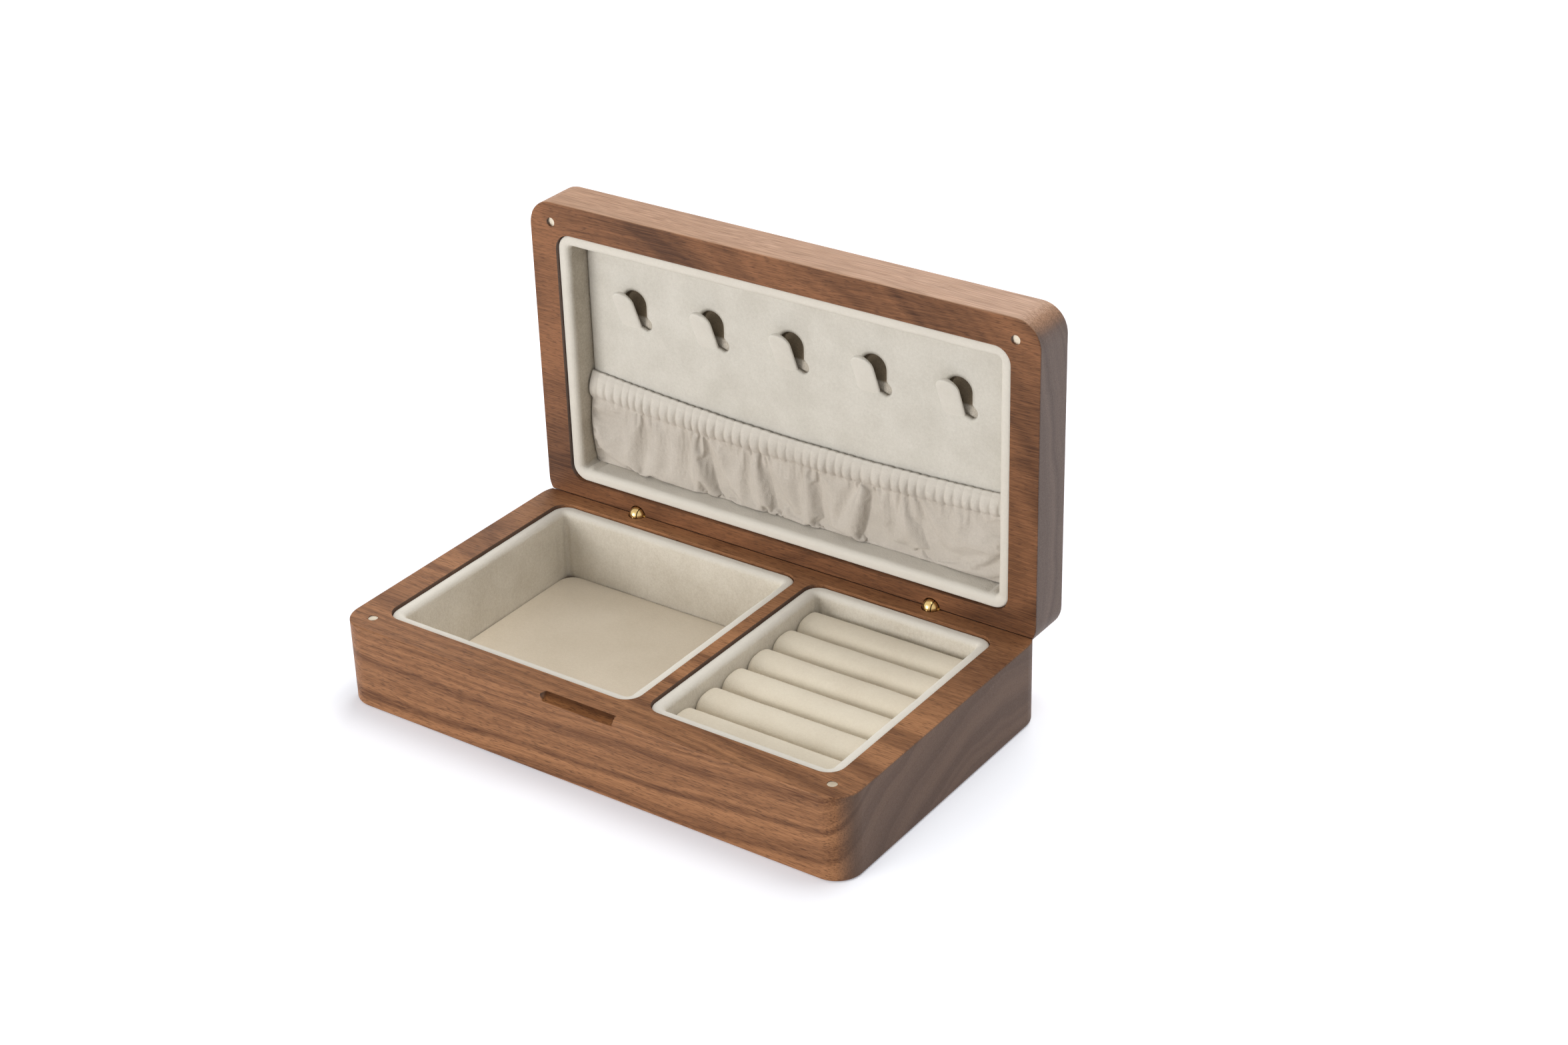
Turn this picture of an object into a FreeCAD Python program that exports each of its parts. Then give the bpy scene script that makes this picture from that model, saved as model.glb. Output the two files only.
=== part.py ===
import FreeCAD, Part
import math
import os
import Sketcher
from FreeCAD import Vector

# Wooden jewellery box with a hinged lid, drawn with the lid open at a right angle.
# The origin is the centre of the base's underside: +X right, -Y front, +Z up, millimetres.
# Lid pieces are drawn as in the closed box, in a frame whose origin is the hinge axis,
# and are then swung open together about that axis.

SIZES = (
    # The two halves of the case
    ("case_width", 200.0),
    ("case_depth", 115.5),
    ("base_height", 30.5),
    ("lid_height", 17.2),
    ("corner_radius", 9.3),
    ("outer_round", 1.2),
    ("parting_round", 0.5),
    ("parting_gap", 0.3),
    ("side_wall", 10.6),
    ("front_wall", 10.8),
    ("rear_wall", 11.0),
    ("partition", 4.7),
    ("ring_tray_width", 71.5),
    ("well_corner", 6.0),
    ("base_floor", 3.0),
    ("lid_back", 4.6),
    ("notch_length", 29.0),
    ("notch_radius", 2.45),
    # Velvet-covered linings
    ("liner_wall", 4.4),
    ("liner_fit", 0.15),
    ("liner_inner_corner", 1.4),
    ("rim_recess", 0.8),
    ("rim_flat", 0.1),
    ("card_thickness", 1.8),
    ("card_fit", 0.15),
    ("card_round", 0.6),
    # Ring rolls
    ("roll_count", 6),
    ("roll_drop", 5.5),
    ("roll_gap", 0.15),
    ("roll_end_round", 0.8),
    # Necklace hooks punched in the lid panel, with a card behind it
    ("backing_thickness", 0.4),
    ("panel_thickness", 2.0),
    ("hook_count", 5),
    ("hook_side", 24.7),
    ("hook_drop", 44.1),
    ("hook_length", 16.4),
    ("hook_width", 8.6),
    ("hook_shift", 2.2),
    ("hook_thickness", 1.4),
    ("hook_lean", 22.0),
    ("hook_root", 1.0),
    ("hook_cut", 0.4),
    ("hook_slot", 1.9),
    ("relief_diameter", 4.3),
    ("relief_side", 2.26),
    ("relief_rise", 2.0),
    # Gathered pocket below the hooks
    ("gather_top", 44.2),
    ("header_height", 8.5),
    ("header_thickness", 1.0),
    ("ruche_count", 48),
    ("ruche_depth", 0.7),
    ("elastic_height", 6.0),
    ("elastic_thickness", 0.7),
    ("cloth_thickness", 0.9),
    ("pocket_bulge", 2.6),
    ("fold_count", 11),
    ("fold_depth", 1.3),
    # Magnets
    ("magnet_diameter", 3.2),
    ("magnet_thickness", 2.5),
    ("magnet_fit", 0.05),
    ("magnet_side", 9.0),
    ("magnet_front", 7.3),
    ("base_magnet_recess", 0.2),
    ("lid_magnet_recess", 0.8),
    # Barrel hinges
    ("open_angle", 90.0),
    ("hinge_inset", 4.9),
    ("hinge_spread", 121.0),
    ("barrel_diameter", 6.4),
    ("barrel_length", 9.0),
    ("barrel_fit", 0.05),
    ("ball_diameter", 5.9),
    ("shoulder_gap", 0.45),
    ("tongue_width", 2.4),
    ("knuckle_gap", 0.3),
    ("pin_diameter", 1.5),
    ("pin_length", 4.8),
    ("pin_fit", 0.05),
)

# Lengths that follow from the sizes, as expressions
AXIS_Y = "(dims.case_depth / 2 - dims.hinge_inset)"
AXIS_Z = "(dims.base_height + dims.parting_gap / 2)"
LID_FACE = "(dims.parting_gap / 2)"
LID_WELL_DEPTH = "(dims.lid_height - dims.lid_back)"
LID_MIDDLE_Y = "(dims.hinge_inset - dims.case_depth / 2)"
BEVEL_LEG = "(dims.hinge_inset + dims.parting_gap / 2 * (sqrt(2) - 1))"
WELL_DEPTH_Y = "(dims.case_depth - dims.front_wall - dims.rear_wall)"
WELL_MIDDLE_Y = "((dims.front_wall - dims.rear_wall) / 2)"
TRAY_WIDTH = "(dims.case_width - 2 * dims.side_wall - dims.partition - dims.ring_tray_width)"
TRAY_X = f"(dims.side_wall - dims.case_width / 2 + {TRAY_WIDTH} / 2)"
RING_X = "(dims.case_width / 2 - dims.side_wall - dims.ring_tray_width / 2)"
LID_WELL_WIDTH = "(dims.case_width - 2 * dims.side_wall)"
LID_WELL_Y = f"({LID_MIDDLE_Y} + {WELL_MIDDLE_Y})"
LINING = "(dims.liner_wall + dims.liner_fit)"
CARD_LOSS = f"(2 * ({LINING} + dims.card_fit))"
CARD_DEPTH = f"({WELL_DEPTH_Y} - {CARD_LOSS})"
CARD_TOP = "(dims.base_floor + dims.card_thickness)"
PANEL_WIDTH = f"({LID_WELL_WIDTH} - {CARD_LOSS})"
PANEL_BACK = f"({LID_FACE} + {LID_WELL_DEPTH} - dims.backing_thickness)"
PANEL_FRONT = f"({PANEL_BACK} - dims.panel_thickness)"
HOOK_FOOT = "(dims.case_depth - dims.hinge_inset - dims.hook_drop)"
HOOK_SPAN = f"({LID_WELL_WIDTH} - 2 * dims.hook_side)"
ROLL_PITCH = f"({CARD_DEPTH} / dims.roll_count)"
ROLL_WIDTH = f"({ROLL_PITCH} - dims.roll_gap)"
ROLL_TOP = "(dims.base_height - dims.roll_drop)"
BASE_MAGNET_Y = "(dims.magnet_front - dims.case_depth / 2)"
LID_MAGNET_Y = f"({LID_MIDDLE_Y} + {BASE_MAGNET_Y})"
MAGNET_BORE = "(dims.magnet_diameter + 2 * dims.magnet_fit)"
BARREL_BORE = "(dims.barrel_diameter + 2 * dims.barrel_fit)"
KNUCKLE_REACH = "(dims.ball_diameter / 2 + dims.shoulder_gap)"
BORE_DEPTH = f"({KNUCKLE_REACH} + dims.barrel_length)"

# Cuts run past the surface by this much, and edges count as flat within the tolerance
CUT_OVERSHOOT = 1.0
FLAT_TOLERANCE = 1e-4
# The least length that a sketch can hold
HAIR = 0.001

# The cloth: how steeply its ends swell, how its folds vary and its room from other pieces
SWELL_POWER = 0.35
FOLD_VARIETY = 0.35
FOLD_BEAT = 2.4
CLOTH_CLEARANCE = 0.1
# Each section of the pocket: share of its height, of its bulge and of its fold depth
POCKET_SECTIONS = (
    (0.0, 0.0, 0.2),
    (0.1, 0.85, 0.6),
    (0.42, 1.0, 1.0),
    (0.75, 0.8, 0.8),
    (1.0, 0.35, 0.4),
)

# How far a hinge's stem reaches into its barrel, and the pin's play in the fork
STEM_ROOT = 1.0
PIN_PRESS = 0.01

doc = FreeCAD.newDocument("JewelleryBox")
sheet = doc.addObject("Spreadsheet::Sheet", "dims")
for row, (alias, value) in enumerate(SIZES, start=1):
    sheet.set(f"A{row}", alias)
    sheet.set(f"B{row}", str(value))
    sheet.setAlias(f"B{row}", alias)
doc.recompute()

pieces = []


def size(expression):
    """The number that an expression over the sheet comes to."""
    return float(sheet.evalExpression(expression))


def new_body(label):
    """An empty body that becomes one piece of the box."""
    body = doc.addObject("PartDesign::Body", label)
    body.Label = label
    pieces.append(body)
    return body


def swing_open(piece):
    """Carry a lid piece from its closed frame to the open lid."""
    piece.Placement = FreeCAD.Placement(Vector(), FreeCAD.Rotation(Vector(1, 0, 0), -90))
    piece.setExpression("Placement.Base.y", AXIS_Y)
    piece.setExpression("Placement.Base.z", AXIS_Z)
    piece.setExpression("Placement.Rotation.Angle", "-dims.open_angle")


def sketch_on(body, role, name, x="0", y="0", z="0"):
    """A sketch on one of the body's own origin planes, shifted in the plane's axes."""
    sketch = body.newObject("Sketcher::SketchObject", name)
    plane = [item for item in body.Origin.OriginFeatures if item.Role == role][0]
    sketch.AttachmentSupport = [(plane, "")]
    sketch.MapMode = "FlatFace"
    sketch.setExpression("AttachmentOffset.Base.x", x)
    sketch.setExpression("AttachmentOffset.Base.y", y)
    sketch.setExpression("AttachmentOffset.Base.z", z)
    return sketch


def bind(sketch, constraint, name, expression):
    """Add a driving constraint and tie it to the sheet."""
    index = sketch.addConstraint(constraint)
    sketch.renameConstraint(index, name)
    sketch.setExpression(f"Constraints.{name}", expression)


def arc(x, y, radius, start, end):
    """A sketch arc about (x, y), angles in degrees."""
    circle = Part.Circle(Vector(x, y, 0), Vector(0, 0, 1), radius)
    return Part.ArcOfCircle(circle, math.radians(start), math.radians(end))


def rounded_rectangle(sketch, width, depth, radius):
    """A rectangle with round corners, centred on the sketch's origin."""
    r = size(radius)
    x = size(width) / 2
    y = size(depth) / 2
    corners = ((x - r, r - y, -90), (x - r, y - r, 0), (r - x, y - r, 90), (r - x, r - y, 180))
    sides = (
        ((r - x, -y), (x - r, -y)),
        ((x, r - y), (x, y - r)),
        ((x - r, y), (r - x, y)),
        ((-x, y - r), (-x, r - y)),
    )
    for (start, end), (cx, cy, angle) in zip(sides, corners):
        sketch.addGeometry(Part.LineSegment(Vector(*start, 0), Vector(*end, 0)))
        sketch.addGeometry(arc(cx, cy, r, angle, angle + 90))
    for index in range(8):
        sketch.addConstraint(Sketcher.Constraint("Tangent", index, 2, (index + 1) % 8, 1))
    for line in (0, 4):
        sketch.addConstraint(Sketcher.Constraint("Horizontal", line))
    for line in (2, 6):
        sketch.addConstraint(Sketcher.Constraint("Vertical", line))
    for corner in (3, 5, 7):
        sketch.addConstraint(Sketcher.Constraint("Equal", 1, corner))
    sketch.addConstraint(Sketcher.Constraint("Symmetric", 3, 3, 7, 3, -1, 1))
    bind(sketch, Sketcher.Constraint("Radius", 1, r), "corner", radius)
    bind(sketch, Sketcher.Constraint("DistanceX", 6, 1, 2, 1, 2 * x), "width", width)
    bind(sketch, Sketcher.Constraint("DistanceY", 0, 1, 4, 1, 2 * y), "depth", depth)


def circle(sketch, diameter):
    """A circle centred on the sketch's origin."""
    index = sketch.addGeometry(Part.Circle(Vector(), Vector(0, 0, 1), size(diameter) / 2))
    sketch.addConstraint(Sketcher.Constraint("Coincident", index, 3, -1, 1))
    bind(sketch, Sketcher.Constraint("Diameter", index, size(diameter)), "diameter", diameter)


def pad(body, sketch, length):
    """Raise a sketch along its normal."""
    feature = body.newObject("PartDesign::Pad", "Pad")
    feature.Profile = sketch
    feature.setExpression("Length", length)
    doc.recompute()
    return feature


def pocket(body, sketch, length, upward=False, midplane=False):
    """Cut a sketch into the body and make sure that it removed material."""
    volume = body.Shape.Volume
    feature = body.newObject("PartDesign::Pocket", "Pocket")
    feature.Profile = sketch
    feature.Reversed = upward
    feature.Midplane = midplane
    feature.setExpression("Length", length)
    doc.recompute()
    if body.Shape.Volume >= volume:
        raise RuntimeError(f"{body.Label}: a pocket cut nothing")
    return feature


def round_edges(body, base, radius, chosen):
    """Round the edges of a feature that the test picks."""
    names = [f"Edge{n}" for n, edge in enumerate(base.Shape.Edges, start=1) if chosen(edge)]
    feature = body.newObject("PartDesign::Fillet", "Fillet")
    feature.Base = (base, names)
    feature.setExpression("Radius", radius)
    doc.recompute()
    return feature


def level(height):
    """A test for edges that lie flat at a height given as an expression."""
    z = size(height)

    def lies_there(edge):
        box = edge.BoundBox
        return abs(box.ZMin - z) < FLAT_TOLERANCE and abs(box.ZMax - z) < FLAT_TOLERANCE

    return lies_there


def case_half(label, middle_y, bottom, top, rounds):
    """The solid outline of one half of the case, with its outer edges eased."""
    body = new_body(label)
    outline = sketch_on(body, "XY_Plane", "Outline", y=middle_y, z=bottom)
    rounded_rectangle(outline, "dims.case_width", "dims.case_depth", "dims.corner_radius")
    feature = pad(body, outline, f"{top} - {bottom}")
    for height, radius in rounds:
        feature = round_edges(body, feature, radius, level(height))
    return body


def well(body, x, y, width, depth, mouth, upward=False):
    """A lined well milled from the parting face."""
    outline = sketch_on(body, "XY_Plane", "Well", x=x, y=y, z=mouth)
    rounded_rectangle(outline, width, WELL_DEPTH_Y, "dims.well_corner")
    pocket(body, outline, depth, upward)


def rear_bevel(body, rear_y, face_z, rise):
    """Bevel the rear edge so that the open lid leans on the base at the hinge line."""
    sketch = sketch_on(body, "YZ_Plane", "Bevel", x=rear_y, y=face_z)
    leg = f"({BEVEL_LEG} + 2 * {CUT_OVERSHOOT})"
    reach = size(leg)
    over = -rise * CUT_OVERSHOOT
    corner = Vector(CUT_OVERSHOOT, over, 0)
    front = Vector(CUT_OVERSHOOT - reach, over, 0)
    back = Vector(CUT_OVERSHOOT, over + rise * reach, 0)
    for start, end in ((corner, front), (front, back), (back, corner)):
        sketch.addGeometry(Part.LineSegment(start, end))
    for line in range(3):
        sketch.addConstraint(Sketcher.Constraint("Coincident", line, 2, (line + 1) % 3, 1))
    sketch.addConstraint(Sketcher.Constraint("Horizontal", 0))
    sketch.addConstraint(Sketcher.Constraint("Vertical", 2))
    sketch.addConstraint(Sketcher.Constraint("Equal", 0, 2))
    sketch.addConstraint(Sketcher.Constraint("DistanceX", -1, 1, 0, 1, CUT_OVERSHOOT))
    sketch.addConstraint(Sketcher.Constraint("DistanceY", -1, 1, 0, 1, over))
    bind(sketch, Sketcher.Constraint("Distance", 0, reach), "leg", leg)
    pocket(body, sketch, "2 * dims.case_width", midplane=True)


def round_bores(body, spots, mouth, diameter, depth, upward=False):
    """Blind round bores from the parting face."""
    for x, y in spots:
        sketch = sketch_on(body, "XY_Plane", "Bore", x=x, y=y, z=mouth)
        circle(sketch, diameter)
        pocket(body, sketch, depth, upward)


def finger_notch(body):
    """A cove with ball ends in the middle of the base's front upper edge."""
    sketch = sketch_on(body, "XZ_Plane", "Notch", y="dims.base_height", z="dims.case_depth / 2")
    radius = size("dims.notch_radius")
    half = size("dims.notch_length") / 2
    run = half - radius
    sketch.addGeometry(Part.LineSegment(Vector(-half, 0, 0), Vector(half, 0, 0)))
    sketch.addGeometry(arc(run, 0, radius, 0, 90))
    sketch.addGeometry(Part.LineSegment(Vector(run, radius, 0), Vector(-run, radius, 0)))
    sketch.addGeometry(arc(-run, 0, radius, 90, 180))
    sketch.addConstraint(Sketcher.Constraint("Coincident", 0, 2, 1, 1))
    sketch.addConstraint(Sketcher.Constraint("Tangent", 1, 2, 2, 1))
    sketch.addConstraint(Sketcher.Constraint("Tangent", 2, 2, 3, 1))
    sketch.addConstraint(Sketcher.Constraint("Coincident", 3, 2, 0, 1))
    sketch.addConstraint(Sketcher.Constraint("Horizontal", 0))
    sketch.addConstraint(Sketcher.Constraint("Equal", 1, 3))
    sketch.addConstraint(Sketcher.Constraint("PointOnObject", 1, 3, -1))
    sketch.addConstraint(Sketcher.Constraint("PointOnObject", 3, 3, -1))
    sketch.addConstraint(Sketcher.Constraint("Symmetric", 0, 1, 0, 2, -1, 1))
    bind(sketch, Sketcher.Constraint("Radius", 1, radius), "radius", "dims.notch_radius")
    bind(sketch, Sketcher.Constraint("Distance", 0, 2 * half), "length", "dims.notch_length")
    volume = body.Shape.Volume
    groove = body.newObject("PartDesign::Groove", "NotchCut")
    groove.Profile = sketch
    groove.ReferenceAxis = (sketch, ["H_Axis"])
    groove.Angle = 360
    doc.recompute()
    if body.Shape.Volume >= volume:
        raise RuntimeError("the finger notch cut nothing")


def hinge_spots(y):
    """Where the two hinges stand."""
    return (("-dims.hinge_spread / 2", y), ("dims.hinge_spread / 2", y))


def magnet_spots(y):
    """Where the two magnets of a half sit, near its front corners."""
    inset = "(dims.case_width / 2 - dims.magnet_side)"
    return ((f"-{inset}", y), (inset, y))


def make_base_case():
    """The lower half: two lined wells, hinge and magnet bores, bevel and finger notch."""
    top = "dims.base_height"
    rounds = (("0", "dims.outer_round"), (top, "dims.parting_round"))
    body = case_half("base_case", "0", "0", top, rounds)
    depth = "dims.base_height - dims.base_floor"
    well(body, TRAY_X, WELL_MIDDLE_Y, TRAY_WIDTH, depth, top)
    well(body, RING_X, WELL_MIDDLE_Y, "dims.ring_tray_width", depth, top)
    bore_depth = f"{BORE_DEPTH} - dims.parting_gap / 2"
    round_bores(body, hinge_spots(AXIS_Y), top, BARREL_BORE, bore_depth)
    magnet_depth = "dims.magnet_thickness + dims.base_magnet_recess"
    round_bores(body, magnet_spots(BASE_MAGNET_Y), top, MAGNET_BORE, magnet_depth)
    rear_bevel(body, "dims.case_depth / 2", top, -1)
    finger_notch(body)


def make_lid_case():
    """The upper half, drawn closed: one lined well, bores and bevel, swung open."""
    top = f"({LID_FACE} + dims.lid_height)"
    rounds = ((top, "dims.outer_round"), (LID_FACE, "dims.parting_round"))
    body = case_half("lid_case", LID_MIDDLE_Y, LID_FACE, top, rounds)
    well(body, "0", LID_WELL_Y, LID_WELL_WIDTH, LID_WELL_DEPTH, LID_FACE, upward=True)
    bore_depth = f"{BORE_DEPTH} - dims.parting_gap / 2"
    round_bores(body, hinge_spots("0"), LID_FACE, BARREL_BORE, bore_depth, upward=True)
    magnet_depth = "dims.magnet_thickness + dims.lid_magnet_recess"
    round_bores(body, magnet_spots(LID_MAGNET_Y), LID_FACE, MAGNET_BORE, magnet_depth, upward=True)
    rear_bevel(body, "dims.hinge_inset", LID_FACE, 1)
    swing_open(body)


def wall_liner(label, x, y, width, foot, rim):
    """A velvet-covered strip round a well's wall, its rim fully rounded."""
    body = new_body(label)
    rises = size(rim) > size(foot)
    bottom, top = (foot, rim) if rises else (rim, foot)
    outline = sketch_on(body, "XY_Plane", "Outside", x=x, y=y, z=bottom)
    fit = "2 * dims.liner_fit"
    corner = "dims.well_corner - dims.liner_fit"
    rounded_rectangle(outline, f"{width} - {fit}", f"{WELL_DEPTH_Y} - {fit}", corner)
    pad(body, outline, f"{top} - {bottom}")
    hollow = sketch_on(body, "XY_Plane", "Inside", x=x, y=y, z=top)
    loss = f"2 * {LINING}"
    corner = "dims.liner_inner_corner"
    rounded_rectangle(hollow, f"{width} - {loss}", f"{WELL_DEPTH_Y} - {loss}", corner)
    tube = pocket(body, hollow, f"{top} - {bottom}")
    round_edges(body, tube, "(dims.liner_wall - dims.rim_flat) / 2", level(rim))
    return body


def covered_card(label, x, width):
    """A velvet-covered card that lies on a well's floor inside the liner."""
    body = new_body(label)
    outline = sketch_on(body, "XY_Plane", "Outline", x=x, y=WELL_MIDDLE_Y, z="dims.base_floor")
    rounded_rectangle(outline, f"{width} - {CARD_LOSS}", CARD_DEPTH, "dims.liner_inner_corner")
    card = pad(body, outline, "dims.card_thickness")
    round_edges(body, card, "dims.card_round", level(CARD_TOP))


def ring_roll(number):
    """One velvet-covered foam roll: flat sides, a half-round crown and eased ends."""
    body = new_body(f"ring_roll_{number}")
    middle = f"{WELL_MIDDLE_Y} + ({number} - (dims.roll_count + 1) / 2) * {ROLL_PITCH}"
    sketch = sketch_on(body, "YZ_Plane", "Section", x=middle, y=CARD_TOP, z=RING_X)
    radius = size(ROLL_WIDTH) / 2
    shoulder = size(ROLL_TOP) - size(CARD_TOP) - radius
    sketch.addGeometry(Part.LineSegment(Vector(-radius, 0, 0), Vector(radius, 0, 0)))
    sketch.addGeometry(Part.LineSegment(Vector(radius, 0, 0), Vector(radius, shoulder, 0)))
    sketch.addGeometry(arc(0, shoulder, radius, 0, 90))
    sketch.addGeometry(arc(0, shoulder, radius, 90, 180))
    sketch.addGeometry(Part.LineSegment(Vector(-radius, shoulder, 0), Vector(-radius, 0, 0)))
    sketch.addConstraint(Sketcher.Constraint("Coincident", 0, 2, 1, 1))
    sketch.addConstraint(Sketcher.Constraint("Tangent", 1, 2, 2, 1))
    sketch.addConstraint(Sketcher.Constraint("Tangent", 2, 2, 3, 1))
    sketch.addConstraint(Sketcher.Constraint("Tangent", 3, 2, 4, 1))
    sketch.addConstraint(Sketcher.Constraint("Coincident", 4, 2, 0, 1))
    sketch.addConstraint(Sketcher.Constraint("Coincident", 2, 3, 3, 3))
    sketch.addConstraint(Sketcher.Constraint("Vertical", 1))
    sketch.addConstraint(Sketcher.Constraint("Vertical", 4))
    sketch.addConstraint(Sketcher.Constraint("Symmetric", 0, 1, 0, 2, -1, 1))
    sketch.addConstraint(Sketcher.Constraint("PointOnObject", 2, 2, -2))
    bind(sketch, Sketcher.Constraint("Distance", 0, 2 * radius), "width", ROLL_WIDTH)
    crown = f"{ROLL_TOP} - {CARD_TOP}"
    bind(sketch, Sketcher.Constraint("DistanceY", -1, 1, 2, 2, size(crown)), "crown", crown)
    roll = pad(body, sketch, f"dims.ring_tray_width - {CARD_LOSS}")
    roll.Midplane = True
    doc.recompute()
    base_z = size(CARD_TOP)

    def end_edge(edge):
        upright = edge.BoundBox.ZMax > base_z + FLAT_TOLERANCE
        return upright and edge.BoundBox.XLength < FLAT_TOLERANCE

    round_edges(body, roll, "dims.roll_end_round", end_edge)


def hook_outline(sketch, foot, width, length):
    """A tongue with a round top, its foot below the sketch's origin."""
    radius = size(width) / 2
    low = -size(foot)
    shoulder = size(length) - radius
    sketch.addGeometry(Part.LineSegment(Vector(-radius, low, 0), Vector(radius, low, 0)))
    sketch.addGeometry(Part.LineSegment(Vector(radius, low, 0), Vector(radius, shoulder, 0)))
    sketch.addGeometry(arc(0, shoulder, radius, 0, 180))
    sketch.addGeometry(Part.LineSegment(Vector(-radius, shoulder, 0), Vector(-radius, low, 0)))
    sketch.addConstraint(Sketcher.Constraint("Coincident", 0, 2, 1, 1))
    sketch.addConstraint(Sketcher.Constraint("Tangent", 1, 2, 2, 1))
    sketch.addConstraint(Sketcher.Constraint("Tangent", 2, 2, 3, 1))
    sketch.addConstraint(Sketcher.Constraint("Coincident", 3, 2, 0, 1))
    sketch.addConstraint(Sketcher.Constraint("Horizontal", 0))
    sketch.addConstraint(Sketcher.Constraint("Vertical", 1))
    sketch.addConstraint(Sketcher.Constraint("PointOnObject", 2, 3, -2))
    bind(sketch, Sketcher.Constraint("Distance", 0, 2 * radius), "width", width)
    rise = f"{length} - {width} / 2"
    bind(sketch, Sketcher.Constraint("DistanceY", -1, 1, 2, 3, shoulder), "shoulder", rise)
    bind(sketch, Sketcher.Constraint("DistanceY", 0, 1, -1, 1, -low), "foot", foot)


def make_panel_backing():
    """A thin card on the bottom of the lid's well, seen through the cuts round the hooks."""
    body = new_body("panel_backing")
    outline = sketch_on(body, "XY_Plane", "Outline", y=LID_WELL_Y, z=PANEL_BACK)
    rounded_rectangle(outline, PANEL_WIDTH, CARD_DEPTH, "dims.liner_inner_corner")
    pad(body, outline, "dims.backing_thickness")
    swing_open(body)


def make_hook_panel():
    """The lid's covered panel with a row of tongues punched out and bent forward."""
    body = new_body("hook_panel")
    outline = sketch_on(body, "XY_Plane", "Outline", y=LID_WELL_Y, z=PANEL_FRONT)
    rounded_rectangle(outline, PANEL_WIDTH, CARD_DEPTH, "dims.liner_inner_corner")
    pad(body, outline, "dims.panel_thickness")
    first_x = f"(-{HOOK_SPAN} / 2 - dims.hook_shift)"
    foot_y = f"-{HOOK_FOOT}"
    facing_front = FreeCAD.Placement(Vector(), FreeCAD.Rotation(Vector(1, 0, 0), 180))

    hole_x = f"{first_x} + dims.hook_slot / 2"
    hole = sketch_on(body, "XY_Plane", "Hole", x=hole_x, y=foot_y, z=PANEL_BACK)
    hole.AttachmentOffset = facing_front
    hole_width = "(dims.hook_width + 2 * dims.hook_cut + dims.hook_slot)"
    hook_outline(hole, f"{HAIR}", hole_width, "(dims.hook_length + dims.hook_cut)")
    hole_cut = pocket(body, hole, "dims.panel_thickness", upward=True)

    relief_x = f"{first_x} + dims.hook_width / 2 + dims.relief_side"
    relief_y = f"{foot_y} - dims.relief_rise"
    relief = sketch_on(body, "XY_Plane", "Relief", x=relief_x, y=relief_y, z=PANEL_BACK)
    circle(relief, "dims.relief_diameter")
    relief_cut = pocket(body, relief, "dims.panel_thickness")

    tongue_z = f"{PANEL_FRONT} + dims.hook_thickness"
    tongue = sketch_on(body, "XY_Plane", "Tongue", x=first_x, y=foot_y, z=tongue_z)
    tongue.AttachmentOffset = facing_front
    tongue.setExpression("AttachmentOffset.Rotation.Angle", "180 + dims.hook_lean")
    hook_outline(tongue, "dims.hook_root", "dims.hook_width", "dims.hook_length")
    tongue_pad = pad(body, tongue, "dims.hook_thickness")

    row = body.newObject("PartDesign::LinearPattern", "HookRow")
    row.Originals = [hole_cut, relief_cut, tongue_pad]
    row.Direction = ([item for item in body.Origin.OriginFeatures if item.Role == "X_Axis"][0], [""])
    row.setExpression("Length", HOOK_SPAN)
    row.setExpression("Occurrences", "dims.hook_count")
    body.Tip = row
    doc.recompute()
    swing_open(body)


def cloth_section(edge_x, rest, folds, bulge, depth, thickness, s):
    """A closed outline across the lid: arcs swelling forward fold by fold, and their back."""

    def forward(t):
        return bulge * math.sin(math.pi * t) ** SWELL_POWER

    def point(t, swell, set_back):
        x = edge_x * (2 * t - 1)
        return Vector(x, -s, rest - forward(t) - swell + set_back)

    def line_of_arcs(set_back):
        arcs = []
        for fold in range(folds):
            ends = (fold / folds, (fold + 1) / folds)
            middle = sum(ends) / 2
            swell = depth * (1 + FOLD_VARIETY * math.sin(FOLD_BEAT * fold))
            start = point(ends[0], 0, set_back)
            crest = point(middle, swell, set_back)
            end = point(ends[1], 0, set_back)
            arcs.append(Part.Arc(start, crest, end).toShape())
        return arcs

    front = line_of_arcs(0)
    rear = line_of_arcs(thickness)
    left = Part.makeLine(point(0, 0, thickness), point(0, 0, 0))
    right = Part.makeLine(point(1, 0, 0), point(1, 0, thickness))
    return Part.Wire([left] + front + [right] + rear[::-1])


def add_cloth(label, shape):
    """A cloth piece of the lid, drawn closed and swung open."""
    piece = doc.addObject("Part::Feature", label)
    piece.Label = label
    piece.Shape = shape
    swing_open(piece)
    pieces.append(piece)


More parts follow.
